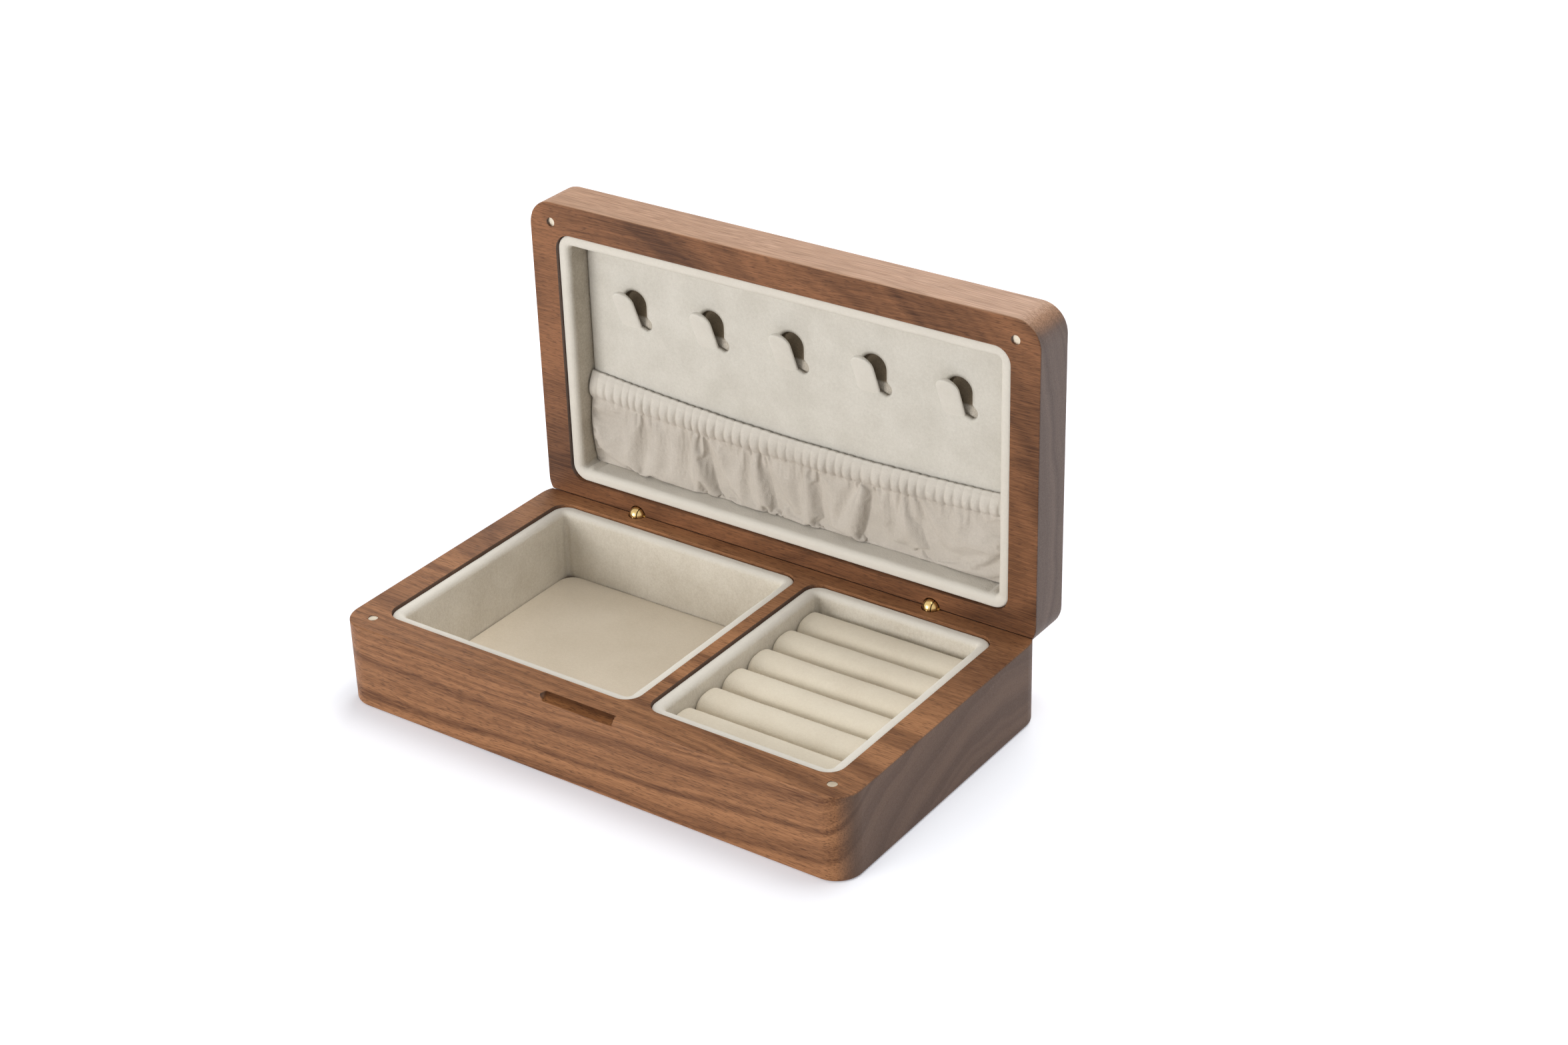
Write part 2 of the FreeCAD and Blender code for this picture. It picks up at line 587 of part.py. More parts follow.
def make_gathered_pocket():
    """The pocket's cloth in puffy folds, its ruched header and the elastic behind that."""
    edge_x = size(PANEL_WIDTH) / 2 - CLOTH_CLEARANCE
    cloth = size("dims.cloth_thickness")
    rest = size(PANEL_FRONT) - CLOTH_CLEARANCE - cloth
    header_low = size("dims.gather_top - dims.header_height")
    high = header_low - CLOTH_CLEARANCE
    folds = int(size("dims.fold_count"))
    corner_room = size("dims.liner_inner_corner * (1 - 1 / sqrt(2))")
    low = size(f"dims.rear_wall - dims.hinge_inset + {LINING}") + CLOTH_CLEARANCE + corner_room
    skirt_x = edge_x - corner_room
    sections = []
    for height, bulge, depth in POCKET_SECTIONS:
        swell = bulge * size("dims.pocket_bulge")
        fold = depth * size("dims.fold_depth")
        s = low + height * (high - low)
        sections.append(cloth_section(skirt_x, rest, folds, swell, fold, cloth, s))
    add_cloth("gathered_pocket", Part.makeLoft(sections, True, False))

    strip = new_body("pocket_elastic")
    middle = "dims.header_height / 2 - dims.gather_top"
    front = f"{PANEL_FRONT} - {CLOTH_CLEARANCE} - dims.elastic_thickness"
    outline = sketch_on(strip, "XY_Plane", "Strip", y=middle, z=front)
    length = f"{PANEL_WIDTH} - 2 * {CLOTH_CLEARANCE}"
    rounded_rectangle(outline, length, "dims.elastic_height", "dims.elastic_thickness / 2")
    pad(strip, outline, "dims.elastic_thickness")
    swing_open(strip)

    thickness = size("dims.header_thickness")
    rest = size(front) - CLOTH_CLEARANCE - thickness
    ruches = int(size("dims.ruche_count"))
    outline = cloth_section(edge_x, rest, ruches, 0, size("dims.ruche_depth"), thickness, header_low)
    band = Part.Face(outline).extrude(Vector(0, -size("dims.header_height"), 0))
    add_cloth("pocket_header", band)


def magnet(label, spot, bottom, in_lid=False):
    """One disc magnet in its bore."""
    body = new_body(label)
    sketch = sketch_on(body, "XY_Plane", "Disc", x=spot[0], y=spot[1], z=bottom)
    circle(sketch, "dims.magnet_diameter")
    pad(body, sketch, "dims.magnet_thickness")
    if in_lid:
        swing_open(body)


def make_magnets():
    """Two magnets at the front corners of each half."""
    base_bottom = "dims.base_height - dims.base_magnet_recess - dims.magnet_thickness"
    lid_bottom = f"{LID_FACE} + dims.lid_magnet_recess"
    sides = ("left", "right")
    for side, base_spot, lid_spot in zip(sides, magnet_spots(BASE_MAGNET_Y), magnet_spots(LID_MAGNET_Y)):
        magnet(f"base_magnet_{side}", base_spot, base_bottom)
        magnet(f"lid_magnet_{side}", lid_spot, lid_bottom, in_lid=True)


def primitive(kind, x, y, z, **sizes):
    """A Part primitive with its sizes and place tied to the sheet."""
    item = doc.addObject(f"Part::{kind}", kind)
    for name, expression in sizes.items():
        item.setExpression(name, expression)
    item.setExpression("Placement.Base.x", x)
    item.setExpression("Placement.Base.y", y)
    item.setExpression("Placement.Base.z", z)
    return item


def boolean(kind, base, tool):
    """Join, cut or intersect two solids."""
    item = doc.addObject(f"Part::{kind}", kind)
    item.Base = base
    item.Tool = tool
    return item


def rod_across(x, y, z, radius, length):
    """A cylinder along X, centred on a point."""
    rod = primitive("Cylinder", f"{x} - {length} / 2", y, z, Radius=radius, Height=length)
    rod.Placement.Rotation = FreeCAD.Rotation(Vector(0, 1, 0), 90)
    return rod


def barrel_half(label, x, y, z, points_up, is_fork):
    """Half a barrel hinge: a barrel, and a ball sliced to a fork or to its tongue."""
    stem_length = f"({KNUCKLE_REACH} + {STEM_ROOT})"
    length = "dims.barrel_length"
    barrel_radius = "dims.barrel_diameter / 2"
    ball_radius = "dims.ball_diameter / 2"
    barrel_z = f"{z} + {KNUCKLE_REACH}" if points_up else f"{z} - {KNUCKLE_REACH} - {length}"
    stem_z = z if points_up else f"{z} - {stem_length}"
    barrel = primitive("Cylinder", x, y, barrel_z, Radius=barrel_radius, Height=length)
    stem = primitive("Cylinder", x, y, stem_z, Radius=ball_radius, Height=stem_length)
    ball = primitive("Sphere", x, y, z, Radius=ball_radius)
    knuckle = boolean("Fuse", stem, ball)
    width = "(dims.tongue_width + 2 * dims.knuckle_gap)" if is_fork else "dims.tongue_width"
    depth = "2 * dims.ball_diameter"
    height = f"({stem_length} + dims.ball_diameter)"
    slab_x = f"{x} - {width} / 2"
    slab_y = f"{y} - dims.ball_diameter"
    slab_z = f"{z} - {KNUCKLE_REACH}" if is_fork else f"{z} - dims.ball_diameter"
    slab = primitive("Box", slab_x, slab_y, slab_z, Length=width, Width=depth, Height=height)
    sliced = boolean("Cut" if is_fork else "Common", knuckle, slab)
    solid = boolean("Fuse", barrel, sliced)
    fit = PIN_PRESS if is_fork else "dims.pin_fit"
    bore = rod_across(x, y, z, f"dims.pin_diameter / 2 + {fit}", "2 * dims.ball_diameter")
    half = boolean("Cut", solid, bore)
    half.Label = label
    pieces.append(half)
    return half


def make_hinges():
    """Two barrel hinges: fork in the base, tongue in the lid, pin on the axis."""
    base_spots = hinge_spots(AXIS_Y)
    lid_spots = hinge_spots("0")
    for side, (x, y), (lid_x, lid_y) in zip(("left", "right"), base_spots, lid_spots):
        barrel_half(f"hinge_fork_{side}", x, y, AXIS_Z, points_up=False, is_fork=True)
        name = f"hinge_tongue_{side}"
        swing_open(barrel_half(name, lid_x, lid_y, "0", points_up=True, is_fork=False))
        pin = rod_across(x, y, AXIS_Z, "dims.pin_diameter / 2", "dims.pin_length")
        pin.Label = f"hinge_pin_{side}"
        pieces.append(pin)


def make_linings():
    """Wall strips, covered cards and ring rolls of the two wells, and the lid's strip."""
    rim = "dims.base_height - dims.rim_recess"
    wall_liner("tray_wall_liner", TRAY_X, WELL_MIDDLE_Y, TRAY_WIDTH, "dims.base_floor", rim)
    wall_liner("ring_wall_liner", RING_X, WELL_MIDDLE_Y, "dims.ring_tray_width", "dims.base_floor", rim)
    covered_card("tray_floor_card", TRAY_X, TRAY_WIDTH)
    covered_card("ring_floor_card", RING_X, "dims.ring_tray_width")
    for number in range(1, int(size("dims.roll_count")) + 1):
        ring_roll(number)
    lid_foot = f"({LID_FACE} + {LID_WELL_DEPTH})"
    lid_rim = f"({LID_FACE} + dims.rim_recess)"
    swing_open(wall_liner("lid_wall_liner", "0", LID_WELL_Y, LID_WELL_WIDTH, lid_foot, lid_rim))


make_base_case()
make_lid_case()
make_linings()
make_panel_backing()
make_hook_panel()
make_gathered_pocket()
make_magnets()
make_hinges()
doc.recompute()

for item in doc.Objects:
    if "Invalid" in item.State or "Error" in item.State:
        raise RuntimeError(f"{item.Label} did not build: {item.State}")
for piece in pieces:
    shape = piece.Shape
    if shape.isNull() or not shape.isValid() or len(shape.Solids) != 1:
        raise RuntimeError(f"{piece.Label} is not one valid solid")

os.makedirs("parts", exist_ok=True)
for piece in pieces:
    piece.Shape.exportStep(f"parts/{piece.Label}.step")
print(f"{len(pieces)} pieces written")
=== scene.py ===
"""A walnut jewelry box, standing open: velvet linings, ring rolls, hooks and a gathered pocket."""

import math

import bmesh
import bpy
import numpy as np
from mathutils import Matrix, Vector, noise


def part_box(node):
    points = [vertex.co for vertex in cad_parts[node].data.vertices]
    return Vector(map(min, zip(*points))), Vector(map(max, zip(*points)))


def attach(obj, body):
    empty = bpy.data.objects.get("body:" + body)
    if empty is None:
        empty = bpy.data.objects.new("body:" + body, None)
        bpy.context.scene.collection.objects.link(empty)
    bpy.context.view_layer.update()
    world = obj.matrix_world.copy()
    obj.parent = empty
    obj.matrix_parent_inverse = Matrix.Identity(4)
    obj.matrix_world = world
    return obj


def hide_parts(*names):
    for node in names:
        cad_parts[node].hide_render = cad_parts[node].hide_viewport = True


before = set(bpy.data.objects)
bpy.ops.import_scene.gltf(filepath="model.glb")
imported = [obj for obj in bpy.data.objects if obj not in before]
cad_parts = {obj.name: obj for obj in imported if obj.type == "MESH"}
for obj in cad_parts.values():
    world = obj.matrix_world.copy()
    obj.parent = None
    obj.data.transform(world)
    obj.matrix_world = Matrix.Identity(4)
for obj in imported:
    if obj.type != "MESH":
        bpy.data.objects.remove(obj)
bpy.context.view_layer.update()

MM = 0.001
AXIS_X, AXIS_Y, AXIS_Z = range(3)

# Camera, in metres and degrees.
CAMERA_PLACE = (0.48373, -0.61926, 0.49294)
CAMERA_TURN = (61.560, 1.531, 34.783)
LENS_MM = 64.30
SENSOR_MM = 36.0

# Linings, in millimetres.
LINER_WALL = 4.4
LINER_CORNER = 5.85
RIM_FULLNESS = 0.45
CARD_EDGE = 0.6
CARD_CORNER = LINER_CORNER
CARD_RINGS = 16
ROLL_END = 1.8
ROLL_FULLNESS = 0.78
ROLL_RINGS = 60
MESH_STEP = 1.0
# Tucks beside a lining's inner corners: height, distance from the corner and width.
TUCK_LIP = (0.45, 2.4, 0.9)
TUCK_CREASE = (0.30, 4.4, 0.55)
TUCK_WAVER = (0.5, 6.0)
# Ripples of soft surfaces: depth and size of each layer.
LINER_RIPPLES = ((0.14, 11.0), (0.06, 2.6))
ROLL_RIPPLES = ((0.10, 12.0), (0.04, 3.0))
CARD_RIPPLE = (0.07, 16.0)

# Hook panel, in millimetres, with the tongues' feet measured along the lid from the hinge axis.
HINGE_Z = 30.65
PANEL_THICKNESS = 2.0
PANEL_CORNER = LINER_CORNER
PANEL_EDGE = 0.95
HOOK_COUNT = 5
HOOK_PITCH = 32.35
HOOK_SHIFT = 2.2
HOOK_FOOT = 66.5
HOOK_LENGTH = 15.4
HOOK_WIDTH = 8.6
HOOK_THICKNESS = 1.4
HOOK_LEAN = 22.0
HOOK_BEND = (-1.5, 2.0)
HOOK_ROOT = 2.5
HOOK_SUNK = 0.1
HOOK_SQUARENESS = (0.45, 0.8)
HOOK_TIP_TAPER = 1.2
HOLE_LEFT = -4.9
HOLE_RIGHT = 4.5
HOLE_HEIGHT = 13.4
HOLE_SILL = 3.0
HOLE_CORNER = 4.65
RELIEF_RADIUS = 2.15
RELIEF_ASIDE = 4.36
RELIEF_RISE = 2.0
RELIEF_EASE = 25.0
RELIEF_BLEND = 0.7
RELIEF_TOP = HOOK_FOOT + RELIEF_RISE + RELIEF_RADIUS

# The finger notch: half its length, and its radius.
NOTCH_HALF_LENGTH = 14.5
NOTCH_RADIUS = 2.45

# Gathered pocket, in millimetres; heights run up the lid from the hinge axis.
POCKET_HALF_WIDTH = 84.3
POCKET_FOOT = 10.9
POCKET_FLOOR = 10.8
POCKET_STAND_OFF = 0.5
HEADER_ROLL = 0.9
CLOTH_THICKNESS = 0.8
HEADER_OUT = 1.75
HEADER_ROWS = 34
HEM_TUCK = 0.55
HEM_SCALLOP = 0.25
CLOTH_CLEARANCE = 0.15
RUCHE_PITCH = 3.45
RUCHE_DEPTH = 1.8
RUCHE_FLATNESS = 0.45
RUCHE_DRIFT = ((0.5, 19.0), (0.12, 5.0))
# The pocket's lines: height in the middle, rise to the sides and fall from left to right.
STITCH_LINE = (33.5, 2.9, 0.4)
TOP_LINE = (41.7, 3.2, 1.3)
# The elastic's reach up the header, as shares of its height, and its ribs.
ELASTIC_SPAN = (0.12, 0.82)
ELASTIC_RIBS = 4
ELASTIC_RIB_DEPTH = 0.06
ELASTIC_INSET = 0.1

# The pocket's skirt as cut: how much wider and longer it is than the place where it hangs.
SKIRT_COLUMNS = 220
SKIRT_ROWS = 28
SKIRT_GATHER = 1.005
SKIRT_DROP = 1.06
SKIRT_OUT = 1.3
SKIRT_BULGE = 1.8
SKIRT_SHOULDER = 0.6
SKIRT_UNREST = ((1.6, 12.0), (0.3, 6.0))
FOLD_REACH = 6.0
FOLD_LIP = 0.3
CLOTH_SCALE = 20.0
CLOTH_FRAMES = 40
CLOTH_DRAW_IN = 24
# The finished pocket's grid.
POCKET_COLUMNS = 560
SKIRT_FINE_ROWS = 84

# The floor's glow, near the box and far from it, and the distances in millimetres where it changes.
FLOOR_GLOW = (0.32, 1.1)
GLOW_REACH = (450, 1600)


# Small helpers for mesh building. Points are in millimetres until a piece is made.


def smooth_step(low, high, value):
    """0 below low, 1 above high and a smooth rise between."""
    t = np.clip((np.asarray(value, float) - low) / (high - low), 0, 1)
    return t * t * (3 - 2 * t)


def ripple(points, size, seed):
    """Smooth noise from -1 to 1 at each point, with features of about that size."""
    shift = Vector((seed * 17.3, seed * 5.1, seed * 29.7))
    return np.array([noise.noise(Vector(p) / size + shift) for p in points])


def unevenness(points, layers, seed):
    """The sum of ripples of the given depths and sizes."""
    return sum(depth * ripple(points, size, seed + i) for i, (depth, size) in enumerate(layers))


def grid_faces(rows, columns, close_rows=False, close_columns=False):
    """Quads of a grid of points stored row by row, wrapped round where asked."""
    faces = []
    for row in range(rows if close_rows else rows - 1):
        for column in range(columns if close_columns else columns - 1):
            below = row * columns
            above = (row + 1) % rows * columns
            beside = (column + 1) % columns
            faces.append((below + column, below + beside, above + beside, above + column))
    return faces


def rounded_loop(low, high, radius, step):
    """Points and outward normals anticlockwise round a rectangle with rounded corners."""
    corners = (
        (high[0] - radius, low[1] + radius, -90),
        (high[0] - radius, high[1] - radius, 0),
        (low[0] + radius, high[1] - radius, 90),
        (low[0] + radius, low[1] + radius, 180),
    )
    turns = max(6, math.ceil(radius * math.pi / 2 / step))
    points = []
    normals = []
    for index, (x, y, start) in enumerate(corners):
        for turn in range(turns + 1):
            angle = math.radians(start + 90 * turn / turns)
            normal = np.array((math.cos(angle), math.sin(angle)))
            normals.append(normal)
            points.append(np.array((x, y)) + radius * normal)
        follower = corners[(index + 1) % 4]
        goal = np.array(follower[:2]) + radius * normal
        run = np.linalg.norm(goal - points[-1])
        count = max(1, round(run / step))
        start_point = points[-1]
        for i in range(1, count):
            points.append(start_point + (goal - start_point) * i / count)
            normals.append(normal)
    return np.array(points), np.array(normals)


def add_piece(name, points, faces, body, material, replaced):
    """A smooth mesh that rides on a body and stands for some CAD nodes."""
    mesh = bpy.data.meshes.new(name)
    mesh.from_pydata([tuple(p) for p in np.asarray(points) * MM], [], faces)
    shape = bmesh.new()
    shape.from_mesh(mesh)
    bmesh.ops.recalc_face_normals(shape, faces=shape.faces)
    shape.to_mesh(mesh)
    shape.free()
    mesh.shade_smooth()
    mesh.materials.append(material)
    piece = bpy.data.objects.new(name, mesh)
    bpy.context.scene.collection.objects.link(piece)
    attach(piece, body)
    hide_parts(*replaced)
    return piece


def node_box(node):
    """Lowest and highest corner of a CAD node, in millimetres."""
    low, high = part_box(node)
    return np.array(low) / MM, np.array(high) / MM


# Places of the frame: the notch's edge, the open lid's upper edge, the liners' rims and the panel.
base_low, base_high = node_box("base_case")
NOTCH_EDGE = (base_low[AXIS_Y], base_high[AXIS_Z])
LID_EDGE_Z = node_box("lid_case")[1][AXIS_Z]
BASE_RIM_Z = node_box("tray_wall_liner")[1][AXIS_Z]
liner_low, liner_high = node_box("lid_wall_liner")
LID_RIM_Y = liner_low[AXIS_Y]
LID_FOOT_Z = liner_low[AXIS_Z] + LINER_WALL
panel_low, panel_high = node_box("hook_panel")
panel_front = panel_high[AXIS_Y] - PANEL_THICKNESS


# Materials, with painted light in some colours: a painted sheen on the lid's upper edge, painted
# highlights on the linings' rims, and painted shade round the hooks' cuts and in the finger notch.

# Painted sheen on the lid's upper edge: pale, greyed wood colours where the lamps' highlight falls.
PAINTED_EDGE_SHEEN = (0.52, 0.315, 0.20, 1)
PAINTED_EDGE_SHEEN_SHADE = (0.27, 0.15, 0.088, 1)
PAINTED_EDGE_SHEEN_SHARE = 0.85
PAINTED_EDGE_SHEEN_BAND = (7.0, 5.0)
PORE = (0.040, 0.016, 0.008, 1)
GRAIN_SWING = 13
# Painted shade in the finger notch: lighter at its foot, deep under its top lip.
PAINTED_NOTCH_FOOT_SHADE = (0.74, 0.66, 0.52, 1)
PAINTED_NOTCH_TOP_SHADE = (0.26, 0.21, 0.16, 1)
# Painted highlight on the linings' rims and the pocket's header, where the pile catches the light.
PAINTED_RIM_HIGHLIGHT = (0.76, 0.73, 0.67, 1)
RIM_HIGHLIGHT_SHARE = 0.75
# Painted shade round the hooks' cuts and on the hook panel's turned-back edges.
PAINTED_CUT_SHADE = (0.20, 0.165, 0.115, 1)
CUT_SHADE_SHARE = 0.62


def add_node(tree, kind, inputs=None, **settings):
    """A shader node with its settings made and its inputs set or linked."""
    node = tree.nodes.new(kind)
    for key, value in settings.items():
        setattr(node, key, value)
    for key, value in (inputs or {}).items():
        if isinstance(value, bpy.types.NodeSocket):
            tree.links.new(value, node.inputs[key])
        else:
            node.inputs[key].default_value = value
    return node


def new_material(name):
    """A material with its node tree and its main shader."""
    material = bpy.data.materials.new(name)
    material.use_nodes = True
    tree = material.node_tree
    return material, tree, tree.nodes["Principled BSDF"]


def math_node(tree, operation, *values):
    """The result of one sum on numbers or sockets."""
    inputs = dict(enumerate(values))
    return add_node(tree, "ShaderNodeMath", inputs, operation=operation).outputs[0]


def mix_colour(tree, share, first, second, blend="MIX"):
    """A blend of two colours by share."""
    inputs = {0: share, 6: first, 7: second}
    node = add_node(tree, "ShaderNodeMix", inputs, data_type="RGBA", blend_type=blend)
    return node.outputs[2]


def spread(tree, value, low, high, to_low=0.0, to_high=1.0):
    """A value taken from one range to another, held at its ends."""
    inputs = {0: value, 1: low, 2: high, 3: to_low, 4: to_high}
    return add_node(tree, "ShaderNodeMapRange", inputs, clamp=True).outputs[0]


def millimetres(tree, scale=(1, 1, 1), turn=(0, 0, 0)):
    """Object coordinates in millimetres, turned and stretched."""
    coordinates = add_node(tree, "ShaderNodeTexCoord").outputs["Object"]
    inputs = {"Vector": coordinates, "Rotation": turn}
    turned = add_node(tree, "ShaderNodeMapping", inputs).outputs[0]
    stretch = [value / MM for value in scale]
    inputs = {"Vector": turned, "Scale": stretch}
    return add_node(tree, "ShaderNodeMapping", inputs).outputs[0]


def place_on(tree):
    """The X, Y and Z of a point of the object, in millimetres."""
    return add_node(tree, "ShaderNodeSeparateXYZ", {0: millimetres(tree)}).outputs


def distance(tree, first, second):
    """The distance between two points."""
    inputs = {0: first, 1: second}
    return add_node(tree, "ShaderNodeVectorMath", inputs, operation="DISTANCE").outputs["Value"]


def add_relief(tree, shader, strength, depth, height):
    """Fine relief on a shader's surface, with its depth in metres."""
    inputs = {"Strength": strength, "Distance": depth, "Height": height}
    bump = add_node(tree, "ShaderNodeBump", inputs)
    tree.links.new(bump.outputs[0], shader.inputs["Normal"])


def seen_directly(tree):
    """1 where the camera, gloss or glass looks at a surface, and 0 where it lights others."""
    path = add_node(tree, "ShaderNodeLightPath").outputs
    seen = math_node(tree, "MAXIMUM", path["Is Camera Ray"], path["Is Glossy Ray"])
    return math_node(tree, "MAXIMUM", seen, path["Is Transmission Ray"])


def noise_node(tree, vector, scale, detail=2.0, roughness=0.5):
    """The value of a noise texture."""
    inputs = {"Vector": vector, "Scale": scale, "Detail": detail, "Roughness": roughness}
    return add_node(tree, "ShaderNodeTexNoise", inputs).outputs["Fac"]


def stretched(tree, vector, along):
    """A vector squeezed along the grain, so that a pattern on it runs long."""
    return add_node(tree, "ShaderNodeMapping", {"Vector": vector, "Scale": (along, 1, 1)}).outputs[0]


def vector_sum(tree, operation, first, second):
    """One sum on two vectors."""
    return add_node(tree, "ShaderNodeVectorMath", {0: first, 1: second}, operation=operation).outputs[0]


def growth_bands(tree, warped, ring_turn, pith):
    """Early and late wood as a value of the distance from the tree's pith."""
    inputs = {"Vector": warped, "Rotation": ring_turn}
    tilted = add_node(tree, "ShaderNodeMapping", inputs).outputs[0]
    across = vector_sum(tree, "MULTIPLY", tilted, (0, 1, 1))
    radius = distance(tree, across, (0, *pith))
    inputs = {"W": radius, "Scale": 0.13, "Detail": 3.0, "Roughness": 0.66}
    rings = add_node(tree, "ShaderNodeTexNoise", inputs, noise_dimensions="1D").outputs["Fac"]
    return spread(tree, rings, 0.33, 0.67)


def weighted_sum(tree, *terms):
    """The sum of values, each with its weight."""
    total = 0.0
    for value, weight in terms:
        total = math_node(tree, "ADD", total, math_node(tree, "MULTIPLY", value, weight))
    return total


def in_notch(tree):
    """1 inside the finger notch and 0 elsewhere, with the height there from 0 at its foot to 1."""
    place = place_on(tree)
    away = distance(tree, millimetres(tree, scale=(0, 1, 1)), (0, *NOTCH_EDGE))
    inside = spread(tree, away, NOTCH_RADIUS + 0.02, NOTCH_RADIUS + 0.10, 1.0, 0.0)
    along = math_node(tree, "ABSOLUTE", place[AXIS_X])
    between = spread(tree, along, NOTCH_HALF_LENGTH - 0.9, NOTCH_HALF_LENGTH - 0.1, 1.0, 0.0)
    foot = NOTCH_EDGE[1] - 0.95 * NOTCH_RADIUS
    brow = NOTCH_EDGE[1] - 0.3 * NOTCH_RADIUS
    height = spread(tree, place[AXIS_Z], foot, brow)
    return math_node(tree, "MULTIPLY", inside, between), height


def darker_in_notch(tree, colour):
    """The wood's colour with painted shade in the finger notch, deep brown at its top and warmer at its
    foot.
    """
    notch, height = in_notch(tree)
    # Painted shade, deepest under the notch's top lip.
    shade = mix_colour(tree, height, PAINTED_NOTCH_FOOT_SHADE, PAINTED_NOTCH_TOP_SHADE)
    deep = mix_colour(tree, 1.0, colour, shade, "MULTIPLY")
    return mix_colour(tree, notch, colour, deep), notch


def painted_sheen_at_edge(tree, colour, grain, edge_z):
    """The wood's colour, with a painted sheen where it faces up near an edge's height, streaked by the
    wood's fibre.
    """
    normal = add_node(tree, "ShaderNodeTexCoord").outputs["Normal"]
    upward = add_node(tree, "ShaderNodeSeparateXYZ", {0: normal}).outputs[AXIS_Z]
    start, full = PAINTED_EDGE_SHEEN_BAND
    near = spread(tree, place_on(tree)[AXIS_Z], edge_z - start, edge_z - full)
    faces_up = spread(tree, upward, 0.45, 0.95, 0.0, PAINTED_EDGE_SHEEN_SHARE)
    share = math_node(tree, "MULTIPLY", near, faces_up)
    pale = mix_colour(tree, grain, PAINTED_EDGE_SHEEN, PAINTED_EDGE_SHEEN_SHADE)
    return mix_colour(tree, share, colour, pale)


def walnut(name, board_turn, ring_turn, pith, light, dark, end_grey, end_value):
    """Oiled walnut with its grain along X: growth bands, long fibres, short pores and end grain, with a
    painted sheen on the lid's upper edge and painted shade in the finger notch.
    """
    material, tree, shader = new_material(name)
    board = millimetres(tree, turn=board_turn)
    slow = {"Vector": stretched(tree, board, 0.25), "Scale": 0.03, "Detail": 2.0}
    waver = add_node(tree, "ShaderNodeTexNoise", slow).outputs["Color"]
    centred = vector_sum(tree, "SUBTRACT", waver, (0.5, 0.5, 0.5))
    warp = vector_sum(tree, "MULTIPLY", centred, (0, GRAIN_SWING, GRAIN_SWING))
    warped = vector_sum(tree, "ADD", board, warp)
    bands = growth_bands(tree, warped, ring_turn, pith)
    streaks = noise_node(tree, stretched(tree, warped, 0.006), scale=1.7, detail=3.0, roughness=0.62)
    streaks = spread(tree, streaks, 0.34, 0.68)
    fibre = noise_node(tree, stretched(tree, warped, 0.022), scale=3.0, detail=3.0, roughness=0.6)
    pore = noise_node(tree, stretched(tree, board, 0.12), scale=3.0, detail=1.5)
    pore = spread(tree, pore, 0.55, 0.66)
    grain = spread(tree, fibre, 0.34, 0.68)
    tone = weighted_sum(tree, (bands, 0.50), (streaks, 0.22), (grain, 0.28))
    colour = mix_colour(tree, spread(tree, tone, 0.16, 0.86), light, dark)
    pore_share = math_node(tree, "MULTIPLY", pore, 0.5)
    colour = mix_colour(tree, pore_share, colour, PORE)
    # The ends take an evened, greyer copy of the wood's colour, darker on the base: partly the end
    # grain's own duller tone, partly a painted reflection and painted shade.
    normal = add_node(tree, "ShaderNodeNewGeometry").outputs["Normal"]
    endways = add_node(tree, "ShaderNodeSeparateXYZ", {0: normal}).outputs[AXIS_X]
    end_grain = spread(tree, math_node(tree, "ABSOLUTE", endways), 0.55, 0.95)
    even = mix_colour(tree, 0.6, colour, mix_colour(tree, 0.5, light, dark))
    inputs = {"Saturation": end_grey, "Value": end_value, "Color": even}
    greyed = add_node(tree, "ShaderNodeHueSaturation", inputs).outputs[0]
    colour = mix_colour(tree, end_grain, colour, greyed)
    # Painted sheen on the lid's upward-facing upper edge.
    colour = painted_sheen_at_edge(tree, colour, grain, LID_EDGE_Z)
    colour, notch = darker_in_notch(tree, colour)
    tree.links.new(colour, shader.inputs["Base Color"])
    polish = spread(tree, fibre, 0.3, 0.7, 0.44, 0.58)
    tree.links.new(math_node(tree, "MAXIMUM", polish, notch), shader.inputs["Roughness"])
    shader.inputs["Specular IOR Level"].default_value = 0.20
    relief = math_node(tree, "SUBTRACT", math_node(tree, "MULTIPLY", fibre, 0.5), pore)
    add_relief(tree, shader, 0.35, 0.00006, relief)
    return material


def painted_band_along(tree, colour, axis, start, end, share, painted_colour):
    """The pile's colour, going over to a painted colour from start to end along an axis: painted
    highlights on rims and painted shade on the hook panel's edges.
    """
    turned = spread(tree, place_on(tree)[axis], start, end, 0.0, share)
    return mix_colour(tree, turned, colour, painted_colour)


def painted_shade_round_cuts(tree, colour):
    """The pile's colour, with painted shade round the cuts by the hooks, above the reliefs, where the
    tongues shadow them.
    """
    place = place_on(tree)
    beside = math_node(tree, "WRAP", place[AXIS_X], HOOK_PITCH / 2, -HOOK_PITCH / 2)
    beside = math_node(tree, "SUBTRACT", beside, (HOLE_LEFT + HOLE_RIGHT) / 2)
    lowest = HINGE_Z + RELIEF_TOP
    highest = HINGE_Z + HOOK_FOOT + HOLE_HEIGHT - HOLE_CORNER
    nearest = math_node(tree, "MAXIMUM", place[AXIS_Z], lowest)
    nearest = math_node(tree, "MINIMUM", nearest, highest)
    beyond = math_node(tree, "SUBTRACT", place[AXIS_Z], nearest)
    offset = add_node(tree, "ShaderNodeCombineXYZ", {0: beside, 1: beyond}).outputs[0]
    away = distance(tree, offset, (0, 0, 0))
    share = spread(tree, away, HOLE_CORNER - 0.4, HOLE_CORNER + 1.5, CUT_SHADE_SHARE, 0.0)
    above_foot = spread(tree, place[AXIS_Z], lowest - 0.5, lowest + 2.5)
    share = math_node(tree, "MULTIPLY", share, above_foot)
    return mix_colour(tree, share, colour, PAINTED_CUT_SHADE)


